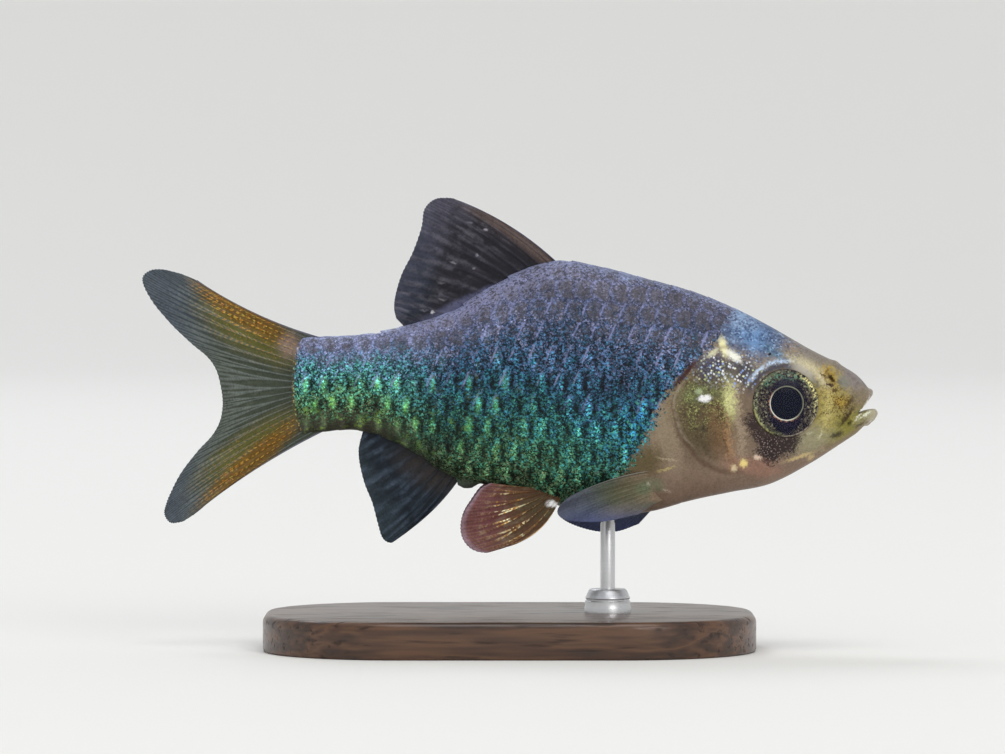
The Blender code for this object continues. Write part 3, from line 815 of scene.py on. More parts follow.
coatColours = {
    "hue": [(0.00, tint(70, 84, 62)), (0.07, tint(58, 94, 66)), (0.20, tint(50, 104, 84)),
            (0.33, tint(42, 106, 108)), (0.44, tint(38, 90, 112)), (0.58, tint(44, 76, 104)),
            (0.70, tint(56, 71, 100)), (0.86, tint(82, 85, 106)), (0.97, tint(100, 102, 126)),
            (1.00, tint(128, 142, 178))],
    "stalk": [(0.00, tint(58, 56, 48)), (0.16, tint(68, 76, 50)), (0.34, tint(68, 124, 94)),
              (0.52, tint(66, 134, 132)), (0.68, tint(84, 120, 148)), (0.84, tint(110, 118, 152)),
              (1.00, tint(134, 140, 170))],
    "flesh": [(0.0, tint(116, 98, 82)), (0.3, tint(128, 110, 90)), (0.6, tint(138, 121, 97)),
              (1.0, tint(130, 118, 102))],
    "silver": [(0.0, tint(110, 136, 206)), (0.35, tint(196, 206, 224)), (0.7, tint(238, 240, 236)),
               (1.0, tint(206, 214, 150))],
    "dark": tint(14, 18, 22),
    # edge: the colour of the painted highlight on the scales' upper rear edges
    "edge": tint(134, 138, 180),
    "brown": tint(88, 82, 84),
}

# Markings of the head and breast in the side view, laid over one another in this order:
# centre, radii, tilt, softness, colour, strength
headMarks = {
    "crown": ((23.65, 3.26), (6.11, 0.9), -31, 0.6, tint(128, 120, 112), 0.85),
    "snout": ((27.5, 0.8), (2.0, 1.5), -38, 0.5, tint(126, 118, 116), 0.85),
    "crownGold": ((22.6, 3.2), (0.7, 0.4), -35, 0.7, tint(150, 122, 84), 0.6),
    "nape": ((18.93, 5.13), (3.74, 2.2), -33, 0.35, tint(86, 106, 138), 0.95),
    "napeFront": ((19.7, 3.9), (1.3, 0.9), -35, 0.6, tint(104, 142, 188), 0.8),
    "napeOverEye": ((21.4, 2.75), (1.1, 0.4), -30, 0.6, tint(84, 118, 140), 0.8),
    "napeTop": ((18.52, 5.54), (1.63, 0.73), -30, 0.6, tint(136, 160, 192), 0.9),
    "cheekGold": ((25.6, -1.55), (1.95, 2.77), 8, 0.45, tint(148, 136, 74), 0.92),
    "nostrilOlive": ((25.9, 0.45), (1.0, 1.3), -25, 0.5, tint(146, 130, 70), 0.35),
    "upperJaw": ((28.21, -1.38), (0.73, 1.63), -38, 0.5, tint(120, 108, 86), 0.75),
    "blotch": ((26.7, -1.3), (0.8, 0.5), -10, 0.6, tint(156, 122, 42), 0.8),
    "scrawlTop": ((25.5, 1.3), (0.4, 0.28), 20, 0.4, tint(174, 148, 72), 0.9),
    "scrawl": ((25.75, 0.7), (0.85, 0.42), -50, 0.4, tint(166, 136, 54), 0.95),
    "jawOlive": ((27.4, -3.2), (2.0, 0.8), 36, 0.5, tint(126, 122, 52), 0.9),
    "lowerLip": ((28.95, -2.62), (1.05, 0.42), 38, 0.4, tint(130, 124, 92), 0.8),
    "lipTip": ((29.6, -2.4), (0.6, 0.8), 0, 0.7, tint(176, 170, 146), 0.7),
    "snoutTip": ((29.6, -0.5), (0.5, 0.8), 0, 0.7, tint(160, 152, 144), 0.6),
    "cheekPale": ((24.46, -4.31), (1.95, 1.06), 20, 0.6, tint(146, 142, 112), 0.8),
    "behindEye": ((19.33, -1.63), (1.06, 3.58), 4, 0.5, tint(112, 96, 80), 0.85),
    "darkSide": ((20.39, -3.5), (1.06, 1.79), 28, 0.25, tint(48, 36, 36), 0.95),
    "darkUnder": ((21.8, -4.85), (1.85, 1.05), 22, 0.25, tint(44, 34, 34), 0.97),
    "darkPoint": ((21.1, -5.65), (0.75, 0.75), 0, 0.3, tint(44, 34, 34), 0.97),
    "cover": ((15.67, -2.28), (2.36, 3.74), 4, 0.4, tint(80, 68, 46), 0.9),
    "coverTop": ((16.24, 1.55), (1.22, 1.14), 30, 0.5, tint(54, 54, 84), 0.85),
    "silver": ((18.44, 1.14), (1.63, 1.06), -14, 0.45, tint(58, 58, 66), 0.85),
    "coverGreen": ((15.51, -0.65), (1.79, 0.73), 4, 0.6, tint(102, 112, 74), 0.6),
    "coverOrange": ((16.89, -3.66), (0.73, 2.12), 8, 0.8, tint(122, 88, 60), 0.55),
    "ridgeCream": ((17.79, -1.06), (0.45, 1.35), 4, 0.9, tint(214, 214, 150), 0.9),
    "ridgeOrange": ((17.7, -4.48), (0.24, 1.9), 7, 0.95, tint(196, 150, 106), 0.5),
    "ridgePale": ((18.6, -3.26), (0.28, 3.26), 6, 0.9, tint(168, 150, 128), 0.6),
    "throatRose": ((19.74, -6.59), (2.12, 0.65), -8, 0.6, tint(146, 104, 88), 0.6),
    "shoulderOlive": ((10.8, -6.1), (1.8, 1.2), 25, 0.6, tint(92, 80, 52), 0.9),
    "shoulderPale": ((12.6, -4.0), (0.9, 2.6), 20, 0.7, tint(146, 132, 110), 0.6),
    "rootMint": ((11.8, -8.0), (0.7, 0.45), -10, 0.6, tint(112, 128, 100), 0.55),
}
flankShades = {  # centre, radii, tilt, softness, how much lighter or darker than the rest
    "duskBand": ((0.6, -0.9), (8.0, 1.9), 0, 0.7, -0.31),
    "duskLow": ((-4.4, -3.9), (2.8, 1.6), 0, 0.8, -0.5),
    "underDorsal": ((-2.4, 5.0), (5.5, 1.7), 20, 0.8, 0.5),
}
brightMarks = {
    "boneTop": ((17.3, 3.17), (0.3, 0.75), 16, 0.6, tint(232, 226, 176), 0.95),
    "boneSide": ((18.11, 2.44), (0.7, 0.28), -38, 0.6, tint(240, 238, 220), 0.95),
    "boneTail": ((16.4, 2.69), (0.57, 0.2), 32, 0.6, tint(206, 204, 170), 0.8),
    # The next two marks are a painted highlight on the gill cover: a white spot with a greenish glint beside it
    "coverHighlight": ((15.75, -0.98), (0.53, 0.28), 4, 0.4, tint(246, 252, 246), 1.0),
    "coverGlint": ((15.26, -0.41), (0.33, 0.2), 4, 0.5, tint(196, 214, 170), 0.4),
    "goldSpot": ((18.93, -6.27), (0.3, 0.34), 0, 0.5, tint(226, 204, 130), 0.95),
    "goldBeside": ((18.19, -6.67), (0.24, 0.28), 0, 0.6, tint(224, 206, 166), 0.8),
    "throatDot": ((20.07, -5.78), (0.33, 0.18), -10, 0.5, tint(214, 190, 170), 0.9),
    "jawLine": ((23.48, -5.78), (1.1, 0.12), 18, 0.8, tint(216, 192, 132), 0.6),
    "jawLineEnd": ((24.46, -5.86), (0.3, 0.2), 40, 0.5, tint(220, 196, 140), 0.45),
    "finSpine": ((12.75, -5.9), (0.85, 0.06), -8, 0.6, tint(214, 202, 164), 0.3),
    "rootGold": ((12.7, -6.7), (0.75, 0.09), 16, 0.6, tint(196, 180, 110), 0.5),
    "rootGlint": ((12.7, -8.5), (0.35, 0.08), -20, 0.6, tint(214, 204, 186), 0.4),
    # The next two marks are painted glints on the bulge of the cheek
    "cheekSpark": ((25.19, -3.99), (0.35, 0.07), 60, 0.6, tint(222, 216, 190), 0.4),
    "cheekSparkLow": ((24.3, -3.83), (0.3, 0.07), 10, 0.6, tint(216, 210, 184), 0.35),
    "browRim": ((23.75, 1.1), (1.0, 0.45), -35, 0.6, tint(190, 184, 170), 0.6),
}
lipMarks = {  # only beside the middle of the lips
    "lipEdge": ((28.84, -1.7), (0.08, 1.3), -35, 0.6, tint(226, 226, 214), 0.95),
    "lowerLipTop": ((29.0, -2.28), (0.75, 0.07), 36, 0.6, tint(214, 220, 196), 0.8),
    "lowerLipRim": ((29.35, -2.98), (0.8, 0.08), 40, 0.6, tint(226, 230, 220), 0.85),
}
overMarks = {
    # A painted shadow in the gill opening above the gill cover
    "gillSlitShadow": ((14.25, 1.1), (1.55, 0.2), 47, 0.5, tint(58, 28, 26), 0.9),
    "vent": ((-3.45, -8.35), (1.3, 0.62), -8, 0.5, tint(70, 76, 68), 0.9),
    "bellySpot": ((3.4, -9.55), (0.6, 0.28), -8, 0.5, tint(250, 248, 232), 1.0),
}
darkMarks = {
    "browDot": ((21.04, 2.52), (0.11, 0.11), 0, 0.4, tint(12, 12, 18), 1.0),
    "jawDots": ((26.58, -3.99), (0.57, 0.2), 18, 0.6, tint(50, 42, 32), 0.85),
    "nostrilHole": ((25.95, 0.06), (0.36, 0.13), -10, 0.4, tint(48, 28, 26), 0.95),
    "scrawlDarkA": ((25.48, 0.81), (0.4, 0.1), -30, 0.5, tint(84, 62, 26), 0.95),
    "scrawlDarkB": ((26.08, 0.55), (0.48, 0.11), -52, 0.5, tint(74, 54, 24), 0.95),
    "scrawlDarkC": ((26.75, 0.3), (0.3, 0.12), -40, 0.5, tint(84, 70, 44), 0.8),
    "scrawlDarkD": ((26.35, -0.37), (0.28, 0.16), 10, 0.5, tint(76, 54, 26), 0.9),
    "scrawlDarkE": ((25.7, 1.15), (0.11, 0.3), -20, 0.5, tint(100, 76, 34), 0.8),
    "nostrilSlit": ((26.01, 0.73), (0.15, 0.24), 0, 0.5, tint(40, 36, 18), 0.85),
    "nostrilGrey": ((27.07, 0.33), (0.57, 0.41), -38, 0.5, tint(112, 116, 112), 0.6),
    "mouthFold": ((27.39, -2.52), (0.15, 0.95), -36, 0.6, tint(60, 44, 26), 0.95),
    "jawSpot": ((27.6, -2.98), (0.13, 0.22), -30, 0.5, tint(50, 44, 26), 0.8),
    "cheekFold": ((27.55, -1.38), (0.14, 0.65), -35, 0.6, tint(70, 58, 30), 0.85),
    "lipFold": ((28.45, -3.17), (0.41, 0.11), 30, 0.6, tint(72, 54, 30), 0.8),
}


# The tail fin's colours, which also tint the end of the skin; and where its gold rays are
def tailColour(f, place):
    x, y, height = f.parts(place)
    where = f.shaken(place, 1.2, 0.6)
    gold = f.patch(where, (-21.6, 5.85), (4.3, 1.0), -32, 0.5) + f.patch(where, (-21.1, -6.3), (5.0, 0.8), 41, 0.5)
    olive = f.patch(where, (-21.2, 4.2), (4.2, 1.4), -30, 0.6) + f.patch(where, (-21.3, -5.1), (4.6, 1.2), 36, 0.6)
    colour = f.layer(tint(60, 66, 55), tint(58, 66, 78), f.fade(x, -23.0, -27.5))
    colour = f.layer(colour, tint(92, 90, 36), olive * 0.75)
    colour = f.layer(colour, tint(108, 78, 30), gold * 0.85)
    return f.layer(colour, tint(142, 120, 112), f.patch(where, (-17.9, 3.2), (0.9, 1.0), 0, 0.6) * 0.7), gold, olive


# Colour, roughness, metallic and height of the living surface; scales add their own pattern
def coatFinish(name, onScales):
    f = Finish(name, {"IOR": 1.42, "Coat Roughness": 0.2, "Specular IOR Level": 0.22})
    place = f.place()
    x, y, height = f.parts(place)
    up = f.attribute("upTheBody")
    depth = f.attribute("fieldDepth")
    patchy = f.noise(place, 2.6, 3.0)
    clump = f.noise(place, 0.8, 2.0)
    fine = f.noise(place, 0.5, 2.0)
    streaky = f.noise(place, 0.22, 3.0)
    near, (luckA, luckB, luckC) = f.cells(place, 0.15)
    nearFine, (fineA, fineB, fineC) = f.cells(place, 0.095)
    ragged = (fine - 0.5) * 1.3 + (luckC - 0.5) * 0.9
    inField = f.fade(depth + ragged, -0.15, 0.45) * f.fade(x + height * height * -0.04 + ragged * 0.3, -17.75, -17.35)

    # The flank: hue by height, broken into glinting grains
    lower = f.fade(up, 0.76, 0.5)
    luck, bright, dash = 0.5, 0.0, 0.0
    if onScales:
        forward, across, rim = f.parts(f.attribute("scalePlace", "Vector"))
        luck = f.attribute("scaleLuck")
        wavy = across + (fine - 0.5) * 0.7
        along = forward + (streaky - 0.5) * 0.5 + (clump - 0.5) * 0.4
        dash = f.hump(along, 1.05, 0.2) * f.hump(wavy, 0.0, 0.85)
        bright = f.hump(along, 0.56, 0.24) * f.hump(wavy, 0.1, 0.72) * f.fade(luck + clump, 0.45, 1.1)
    jump = (luckB - 0.5) * 0.3 + (fineB - 0.5) * 0.12 + (clump - 0.5) * 0.3 + (luck - 0.5) * 0.07 - bright * lower * 0.1
    slope = f.fade(x, -4.0, 12.0) * f.fade(up, 0.8, 0.5) * (f.fade(up, 0.3, 0.5) * 0.09 + 0.04) - 0.03
    hueAt = up + slope + (patchy - 0.5) * 0.24 + jump * f.fade(up, 1.0, 0.75)
    hue = f.layer(f.ramp(hueAt, coatColours["hue"]), f.ramp(hueAt, coatColours["stalk"]), f.fade(x, -4.0, -12.0))
    grains = luckA ** 4.0 * 2.5 + fineA ** 4.0 * 2.4 + 0.05
    upper = f.fade(up, 0.6, 0.9)
    under = f.fade(up, 0.26, 0.1) * f.fade(x, -5.0, -10.0)
    even = upper * 0.5 + under * 0.85
    sparkle = f.layer(f.node("CombineXYZ", {}, {0: grains, 1: grains, 2: grains}), (0.88, 0.88, 0.88, 1), even)
    flank = f.node("VectorMath", {"operation": "MULTIPLY"}, {0: hue, 1: sparkle})
    glow = f.fade(luckA, 0.8, 1.0)
    front = f.hump(depth, 1.4, 1.6) * f.hump(height, -3.4, 3.4)
    flank = f.layer(flank, f.ramp(luckC, [(0.0, tint(36, 104, 180)), (0.6, tint(56, 150, 186)), (1.0, tint(90, 190, 130))]),
                    front * f.fade(luckA, 0.42, 0.8) * 0.85)
    leafy = f.fade(clump, 0.53, 0.66) * f.fade(x, 6.0, -4.0) * f.hump(up, 0.26, 0.26) * f.fade(luckB, 0.35, 0.6)
    flank = f.layer(flank, tint(118, 150, 56), leafy * 0.6)
    for centre, radii, tilt, soft, change in flankShades.values():
        flank = f.scaled(flank, f.patch(place, centre, radii, tilt, soft) * change + 1.0)
    if onScales:
        # A painted highlight: a pale slanting line on each scale's upper rear edge, lighter in the upper half of the
        # body
        highlightSlant = f.hump(forward - across * 0.42 + (fine - 0.5) * 0.22, 0.16, 0.075)
        line = highlightSlant * f.fade(across + (clump - 0.5) * 0.8, -0.45, -0.1) * f.fade(across + (clump - 0.5), 1.2, 0.8)
        line = line * f.fade(up, 0.97, 0.8) * f.fade(up, 0.34, 0.52) * f.fade(luck + (clump - 0.5) * 1.2, 0.1, 0.6)
        halo = f.hump(rim + (clump - 0.5) * 0.5, 0.93, 0.2) * f.fade(forward, 1.3, 0.7) * f.fade(luckA, 0.3, 0.8)
        blob = f.fade(rim + (clump - 0.5) * 0.3, 0.88, 0.5) * f.fade(up, 0.64, 0.86) * f.fade(fine, 0.25, 0.6)
        flank = f.layer(flank, coatColours["brown"], blob * 0.58)
        flank = f.layer(flank, tint(112, 118, 172), halo * f.fade(up, 0.66, 0.85) * 0.25)
        leaf = bright * f.fade(x, 4.0, -6.0) * f.hump(up, 0.4, 0.24) * f.fade(clump + (luck - 0.5) * 0.5, 0.3, 0.6)
        flank = f.layer(flank, f.layer(tint(50, 124, 72), tint(88, 138, 50), luckB), leaf * 0.6)
        shade = (0.86 + luck * 0.28) * (1 - lower * 0.08 + bright * lower * 1.55)
        flank = f.scaled(flank, shade * (1 - dash * (0.3 + lower * 0.62) * (1 - under * 0.7)))
        flank = f.layer(flank, coatColours["edge"], line * (luckC * 0.35 + 0.52))
    # A painted rim highlight: a thin pale blue line along the top of the back
    backRimHighlight = f.fade(up + (luckA - 0.5) * 0.05 + (patchy - 0.5) * 0.1, 0.96, 1.0)
    flank = f.layer(flank, tint(146, 158, 194), backRimHighlight * 0.4)
    sheath = f.fade(up, 0.86, 0.96) * f.hump(x, -2.0, 7.0) * f.fade(luckA, 0.1, 0.6)
    flank = f.layer(flank, tint(146, 148, 184), sheath * 0.65)

    # Bare flesh of breast, belly and head
    flesh = f.ramp(up + (patchy - 0.5) * 0.5, coatColours["flesh"])
    flesh = f.layer(flesh, tint(150, 124, 112), f.noise(place, 1.3, 3.0) * f.fade(up, 0.45, 0.1) * 0.45)
    rubbed = f.strewn(f.shaken(f.shaken(place, 1.0, 0.8), 0.28, 0.3), 0.13, 0.5)
    for centre, radii, tilt, soft, colour, strength in headMarks.values():
        flesh = f.layer(flesh, colour, f.patch(rubbed, centre, radii, tilt, soft) * strength)

    # Round the orbit: a dark rim above, a blue-white arc over it and a cream band before the eye
    ahead, over = x - eyeSizes["x"], height - eyeSizes["height"]
    fromEye = f.maths("SQRT", ahead * ahead + over * over) + (fine - 0.5) * 0.35 + (luckA - 0.5) * 0.12
    flesh = f.layer(flesh, tint(62, 60, 68), f.hump(fromEye, 3.05, 0.3) * f.fade(over, 0.2, 1.6) * 0.9)
    arc = f.hump(fromEye, 3.45, 0.15) * f.fade(over, 1.2, 2.6) * f.fade(ahead, 1.4, 0.2) * f.fade(fine, 0.2, 0.5)
    flesh = f.layer(flesh, tint(188, 206, 228), arc)
    band = f.hump(fromEye, 3.55, 0.45) * f.fade(ahead + over * 0.5, 1.5, 2.6)
    flesh = f.layer(flesh, f.layer(tint(186, 174, 112), tint(196, 186, 152), f.fade(over, 0.4, 2.0)), band * 0.9)

    # Scrawled blots of the snout and freckles of the cheek
    blots = f.noise(f.shaken(place, 0.5, 0.2), 0.42, 1.0)
    nostril = f.patch(rubbed, (25.9, 0.35), (1.0, 1.5), -25, 0.4)
    cheek = f.patch(rubbed, (26.4, -1.8), (1.6, 2.0), -10, 0.5)
    flesh = f.layer(flesh, tint(172, 150, 78), f.fade(blots, 0.5, 0.54) * nostril * 0.4)
    flesh = f.layer(flesh, tint(84, 62, 24), f.hump(blots, 0.49, 0.03) * (nostril * 0.4 + cheek * 0.5))
    flesh = f.layer(flesh, tint(172, 156, 72), f.fade(luckB, 0.6, 0.9) * cheek * 0.45)
    peppered = cheek * f.fade(clump, 0.4, 0.6) + f.patch(rubbed, (26.9, -1.4), (0.9, 0.6), 0, 0.5)
    flesh = f.layer(flesh, tint(76, 60, 22), f.fade(fineB, 0.6, 0.9) * peppered * 0.8)

    # Pale points, most on the dark patch and over the gill cover
    pores, (poreA, poreB, poreC) = f.cells(f.shaken(place, 0.12, 0.08), 0.24)
    small, (smallA, smallB, smallC) = f.cells(f.shaken(place, 0.12, 0.06), 0.165)
    dots = f.fade(small, 0.42, 0.16)
    patchDots = f.patch(rubbed, (20.6, -3.8), (1.4, 2.0), 28, 0.4) + f.patch(rubbed, (21.7, -5.1), (2.2, 1.5), 18, 0.4)
    silver = f.patch(rubbed, (18.5, 1.1), (1.8, 1.3), -14, 0.5) + f.patch(rubbed, (16.2, 1.5), (1.3, 1.2), 30, 0.6)
    coverDots = f.patch(rubbed, (15.7, -1.8), (2.2, 3.4), 0, 0.6)
    flesh = f.layer(flesh, tint(136, 120, 114), dots * patchDots * (0.25 + smallA * 0.55))
    flesh = f.layer(flesh, f.ramp(poreB, coatColours["silver"]), f.fade(pores, 0.5, 0.28) * silver * f.fade(poreA, 0.1, 0.5))
    flesh = f.layer(flesh, f.layer(tint(112, 116, 66), tint(176, 188, 112), luckC),
                    f.fade(fineA, 0.62, 0.9) * coverDots * f.fade(height, -5.0, -1.5) * (0.3 + f.fade(clump, 0.4, 0.65) * 0.6))
    melanin = f.fade(f.noise(place, 0.33, 3.0), 0.52, 0.68)
    darkened = cheek * 0.35 + coverDots * 0.75 + f.fade(up, 0.75, 0.95) * 0.25 + 0.06
    flesh = f.layer(flesh, tint(52, 42, 32), melanin * darkened)
    nape = f.patch(rubbed, (19.2, 5.0), (4.6, 2.8), -32, 0.4)
    flesh = f.layer(flesh, tint(160, 190, 228), nape * f.fade(luckA, 0.7, 0.98) * 0.5)
    flesh = f.layer(flesh, tint(50, 64, 98), nape * f.fade(luckB, 0.35, 0.7) * f.fade(clump, 0.62, 0.42) * 0.75)
    flesh = f.scaled(flesh, 0.62 + streaky * 0.48 + fineA * 0.2 + (fine - 0.5) * 0.2)
    shaken = f.strewn(f.shaken(place, 0.3, 0.3), 0.1, 0.15)
    for centre, radii, tilt, soft, colour, strength in (*brightMarks.values(), *darkMarks.values()):
        flesh = f.layer(flesh, colour, f.patch(shaken, centre, radii, tilt, soft) * strength)
    aside = f.fade(f.maths("ABSOLUTE", y), 0.7, 1.3)
    for centre, radii, tilt, soft, colour, strength in lipMarks.values():
        flesh = f.layer(flesh, colour, f.patch(shaken, centre, radii, tilt, soft) * aside * strength)

    if not onScales:
        cover = f.attribute("gillDepth") + (fine - 0.5) * 0.2
        behind = f.fade(x, 18.6, 17.0)
        # Painted shade in the gap just outside the gill cover's free edge
        gillEdgeShade = f.hump(cover, -0.15, 0.17) * behind
        flesh = f.layer(flesh, tint(84, 60, 50), gillEdgeShade * 0.45)
        pale = f.hump(cover, 0.1, 0.12) * behind * f.fade(height, 1.2, -0.4) * f.fade(fine, 0.3, 0.6)
        flesh = f.layer(flesh, tint(160, 146, 128), pale * f.fade(height, -7.0, -3.5) * 0.5)
    tail, gold, olive = tailColour(f, place)
    flesh = f.layer(flesh, tail, f.fade(x, -16.0, -17.2))
    beads = f.hump(x + height * height * -0.04, -17.6, 0.13) * f.fade(near, 0.6, 0.3)
    flesh = f.layer(flesh, f.layer(tint(96, 56, 40), tint(218, 190, 120), f.fade(luckA, 0.4, 0.7)), beads * 0.9)
    colour = f.layer(flesh, flank, inField)
    for centre, radii, tilt, soft, shade, strength in overMarks.values():
        colour = f.layer(colour, shade, f.patch(shaken, centre, radii, tilt, soft) * strength)
    metal = (0.1 + glow * 0.25) * inField + dots * silver * 0.3
    f.bump(fine * 0.3 + streaky * 0.25 + luckC * inField * 0.35, 0.045)
    return f.finish(colour=colour, roughness=0.5 - glow * inField * 0.12, metallic=metal, coat=0.08)


# Fins: a thin web on branched rays, standing in the skin

finSizes = {
    "perRay": 14,
    "rows": 64,
    "web": 0.1,
    "sink": 0.7,  # how far the root goes into the body
    "notch": 0.007,  # how far the web draws back between ray tips
    "firstFork": 0.3,
    "secondFork": 0.6,
}

finShapes = {
    "dorsalFin": {"rays": 12, "bow": 0.5, "root": 0.34, "tip": 0.15, "margin": (
        (-3.75, 0, 14.85), (-5.0, 0, 15.22), (-6.15, 0, 15.1), (-6.95, 0, 14.3), (-7.2, 0, 12.8),
        (-7.9, 0, 10.8), (-8.8, 0, 9.0), (-9.3, 0, 7.3), (-9.4, 0, 6.2), (-9.2, 0, 5.4))},
    "analFin": {"rays": 9, "bow": -0.4, "root": 0.32, "tip": 0.15, "margin": (
        (-8.9, 0, -12.35), (-9.7, 0, -12.85), (-10.35, 0, -12.5), (-10.75, 0, -11.3), (-11.2, 0, -9.6),
        (-11.8, 0, -8.1), (-12.2, 0, -6.5), (-12.3, 0, -5.3), (-12.1, 0, -4.4))},
    "upperTail": {"rays": 13, "bow": -0.45, "root": 0.34, "tip": 0.14, "margin": (
        (-25.5, 0, 8.5), (-26.9, 0, 9.05), (-28.2, 0, 9.38), (-29.3, 0, 9.35), (-29.96, 0, 8.8), (-29.8, 0, 7.9), (-28.9, 0, 6.4), (-27.5, 0, 4.8),
        (-26.0, 0, 3.4), (-24.7, 0, 2.3), (-23.9, 0, 1.1), (-23.5, 0, -0.5), (-23.4, 0, -1.6))},
    "lowerTail": {"rays": 12, "bow": 0.35, "root": 0.34, "tip": 0.14, "margin": (
        (-25.9, 0, -10.65), (-26.8, 0, -11.2), (-27.7, 0, -11.3), (-28.2, 0, -10.7), (-28.1, 0, -9.9), (-27.7, 0, -8.9),
        (-26.95, 0, -7.4), (-25.6, 0, -5.6), (-24.3, 0, -4.2), (-23.6, 0, -2.85), (-23.4, 0, -1.6))},
    "pelvicFin": {"rays": 8, "bow": -1.0, "root": 0.34, "tip": 0.15, "margin": (
        (-0.9, 2.9, -13.1), (-2.0, 3.0, -13.5), (-3.1, 3.0, -13.2), (-3.8, 3.0, -12.4), (-4.0, 2.9, -11.4),
        (-3.75, 2.7, -10.4), (-3.2, 2.5, -9.5), (-2.4, 2.3, -8.4), (-1.6, 2.1, -7.9))},
    "rightPectoral": {"rays": 11, "bow": 0.4, "root": 0.22, "tip": 0.12, "margin": (
        (5.0, 4.9, -8.8), (4.2, 5.1, -9.4), (3.85, 5.1, -10.2), (4.6, 4.9, -10.8),
        (6.2, 4.6, -10.95), (8.1, 4.2, -10.85), (10.4, 3.6, -10.35))},
    "leftPectoral": {"rays": 11, "bow": 0.4, "root": 0.22, "tip": 0.12, "margin": (
        (5.0, 4.9, -9.4), (4.1, 5.1, -10.4), (4.4, 5.2, -11.2), (5.7, 5.1, -11.8),
        (7.4, 4.9, -12.2), (9.0, 4.6, -12.1), (10.6, 4.2, -11.5))},
}

finRoots = {
    "dorsal": (4.4, -8.1),
    "dorsalCrowding": 0.38,  # how much closer its front rays stand
    "anal": (-3.7, -11.8),
    "analCrowding": 0.5,
    "tailX": -17.2,
    "tailEdgeX": -15.2,
    "tailHalfHeight": 3.82,
    "tailFork": -0.5,
    "pelvic": (4.2, 2.7),
    "pelvicY": 1.5,
    "pectoralX": 12.8,
    "pectoral": (-6.7, -9.0),
}


# How strongly a place between the rays belongs to a ray, which forks twice on its way out
def rayStrength(across, length, rays):
    place = across * (rays - 1)
    off = place - np.round(place)
    stiff = np.clip(1.4 - place, 0, 1)  # the leading rays stay whole
    first = 0.25 * np.clip((length - finSizes["firstFork"]) / 0.5, 0, 1) * (1 - stiff)
    second = 0.125 * np.clip((length - finSizes["secondFork"]) / 0.3, 0, 1) * (1 - stiff)
    width = mix(0.13, 0.07, length)
    strength = np.zeros(len(across))
    for a in (-1, 1):
        for b in (-1, 1):
            strength = np.maximum(strength, hump(off - a * first - b * second, width))
    return strength


def finSheet(shape, root, mirror=1):
    rays = shape["rays"]
    columns = (rays - 1) * finSizes["perRay"]
    bm = bmesh.new()
    bmesh.ops.create_grid(bm, x_segments=columns, y_segments=finSizes["rows"], size=0.5)
    square = np.array([vert.co for vert in bm.verts])
    across, length = square[:, 0] + 0.5, square[:, 1] + 0.5
    strength = rayStrength(across, length, rays)
    margin = np.array(shape["margin"], float) * (1, mirror, 1)
    starts, tips = root(across), curveAt(margin, across)
    drawn = length * (1 - finSizes["notch"] * (1 - strength) * ease((length - 0.8) / 0.2))
    lean = tips - starts
    forward = np.stack([lean[:, 2], 0 * across, -lean[:, 0]], 1)
    forward /= np.linalg.norm(forward, axis=1, keepdims=True)
    arch = shape["bow"] * (1 - across) * 4 * length * (1 - length)
    spots = starts + lean * drawn[:, None] + forward * arch[:, None]
    spots[:, 1] += sway(spots[:, 0])
    slack = 0.12 * np.sin(across * (rays - 1) * 2.1 + 1.3) * length**2
    spots[:, 1] += slack * ease((1 - across) / 0.12)
    thickness = mix(finSizes["web"], mix(shape["root"], shape["tip"], length), strength)
    mould(bm, lambda old: spots)

    # The sheet becomes two faces, apart by the thickness, joined round their rims
    sheet = bm.faces[:]
    copy = bmesh.ops.duplicate(bm, geom=bm.verts[:] + bm.edges[:] + sheet)
    other = [g for g in copy["geom"] if isinstance(g, bmesh.types.BMFace)]
    bm.verts.ensure_lookup_table()
    bm.normal_update()
    half = len(across)
    normals = np.array([bm.verts[k].normal for k in range(half)])
    for k in range(half):
        offset = Vector(normals[k] * thickness[k] / 2)
        bm.verts[k].co += offset
        bm.verts[k + half].co -= offset
    bmesh.ops.reverse_faces(bm, faces=other)
    bmesh.ops.bridge_loops(bm, edges=[e for e in bm.edges if e.is_boundary])
    places = np.stack([across * (rays - 1), length, strength], 1)
    return bm, np.concatenate([places, places])


def makeFin(name, parts, finish, slotName, *nodes):
    joined, places = bmesh.new(), []
    for bm, partPlaces in parts:
        mesh = bpy.data.meshes.new("part")
        bm.to_mesh(mesh)
        bm.free()
        joined.from_mesh(mesh)
        places.append(partPlaces)
    piece = newPiece(name, joined)
    addAttribute(piece.data, "finPlace", np.concatenate(places))
    dress(piece, finish, slotName, *nodes)
    return piece


def edgeRoot(ends, edge, sink, crowding=0.0):
    def root(across):
        x = mix(*ends, across * mix(1 - crowding, 1, across**2))
        return np.stack([x, 0 * x, edge(x) + sink], 1)

    return root


def tailRoot(first, last):
    def root(across):
        x = mix(finRoots["tailX"], finRoots["tailEdgeX"], (1 - across) ** 2)
        return np.stack([x, 0 * across, mix(first, last, across)], 1)

    return root


def pelvicRoot(side):
    def root(across):
        x = mix(*finRoots["pelvic"], across)
        height = bellyAt(x, finRoots["pelvicY"]) + finSizes["sink"] * 0.6
        return np.stack([x, np.full(len(x), side * finRoots["pelvicY"]), height], 1)

    return root


def pectoralRoot(side):
    def root(across):
        height = mix(*finRoots["pectoral"], across)
        x = np.full(len(across), finRoots["pectoralX"])
        return np.stack([x, side * (sideOf(x, height) - 0.5), height], 1)

    return root


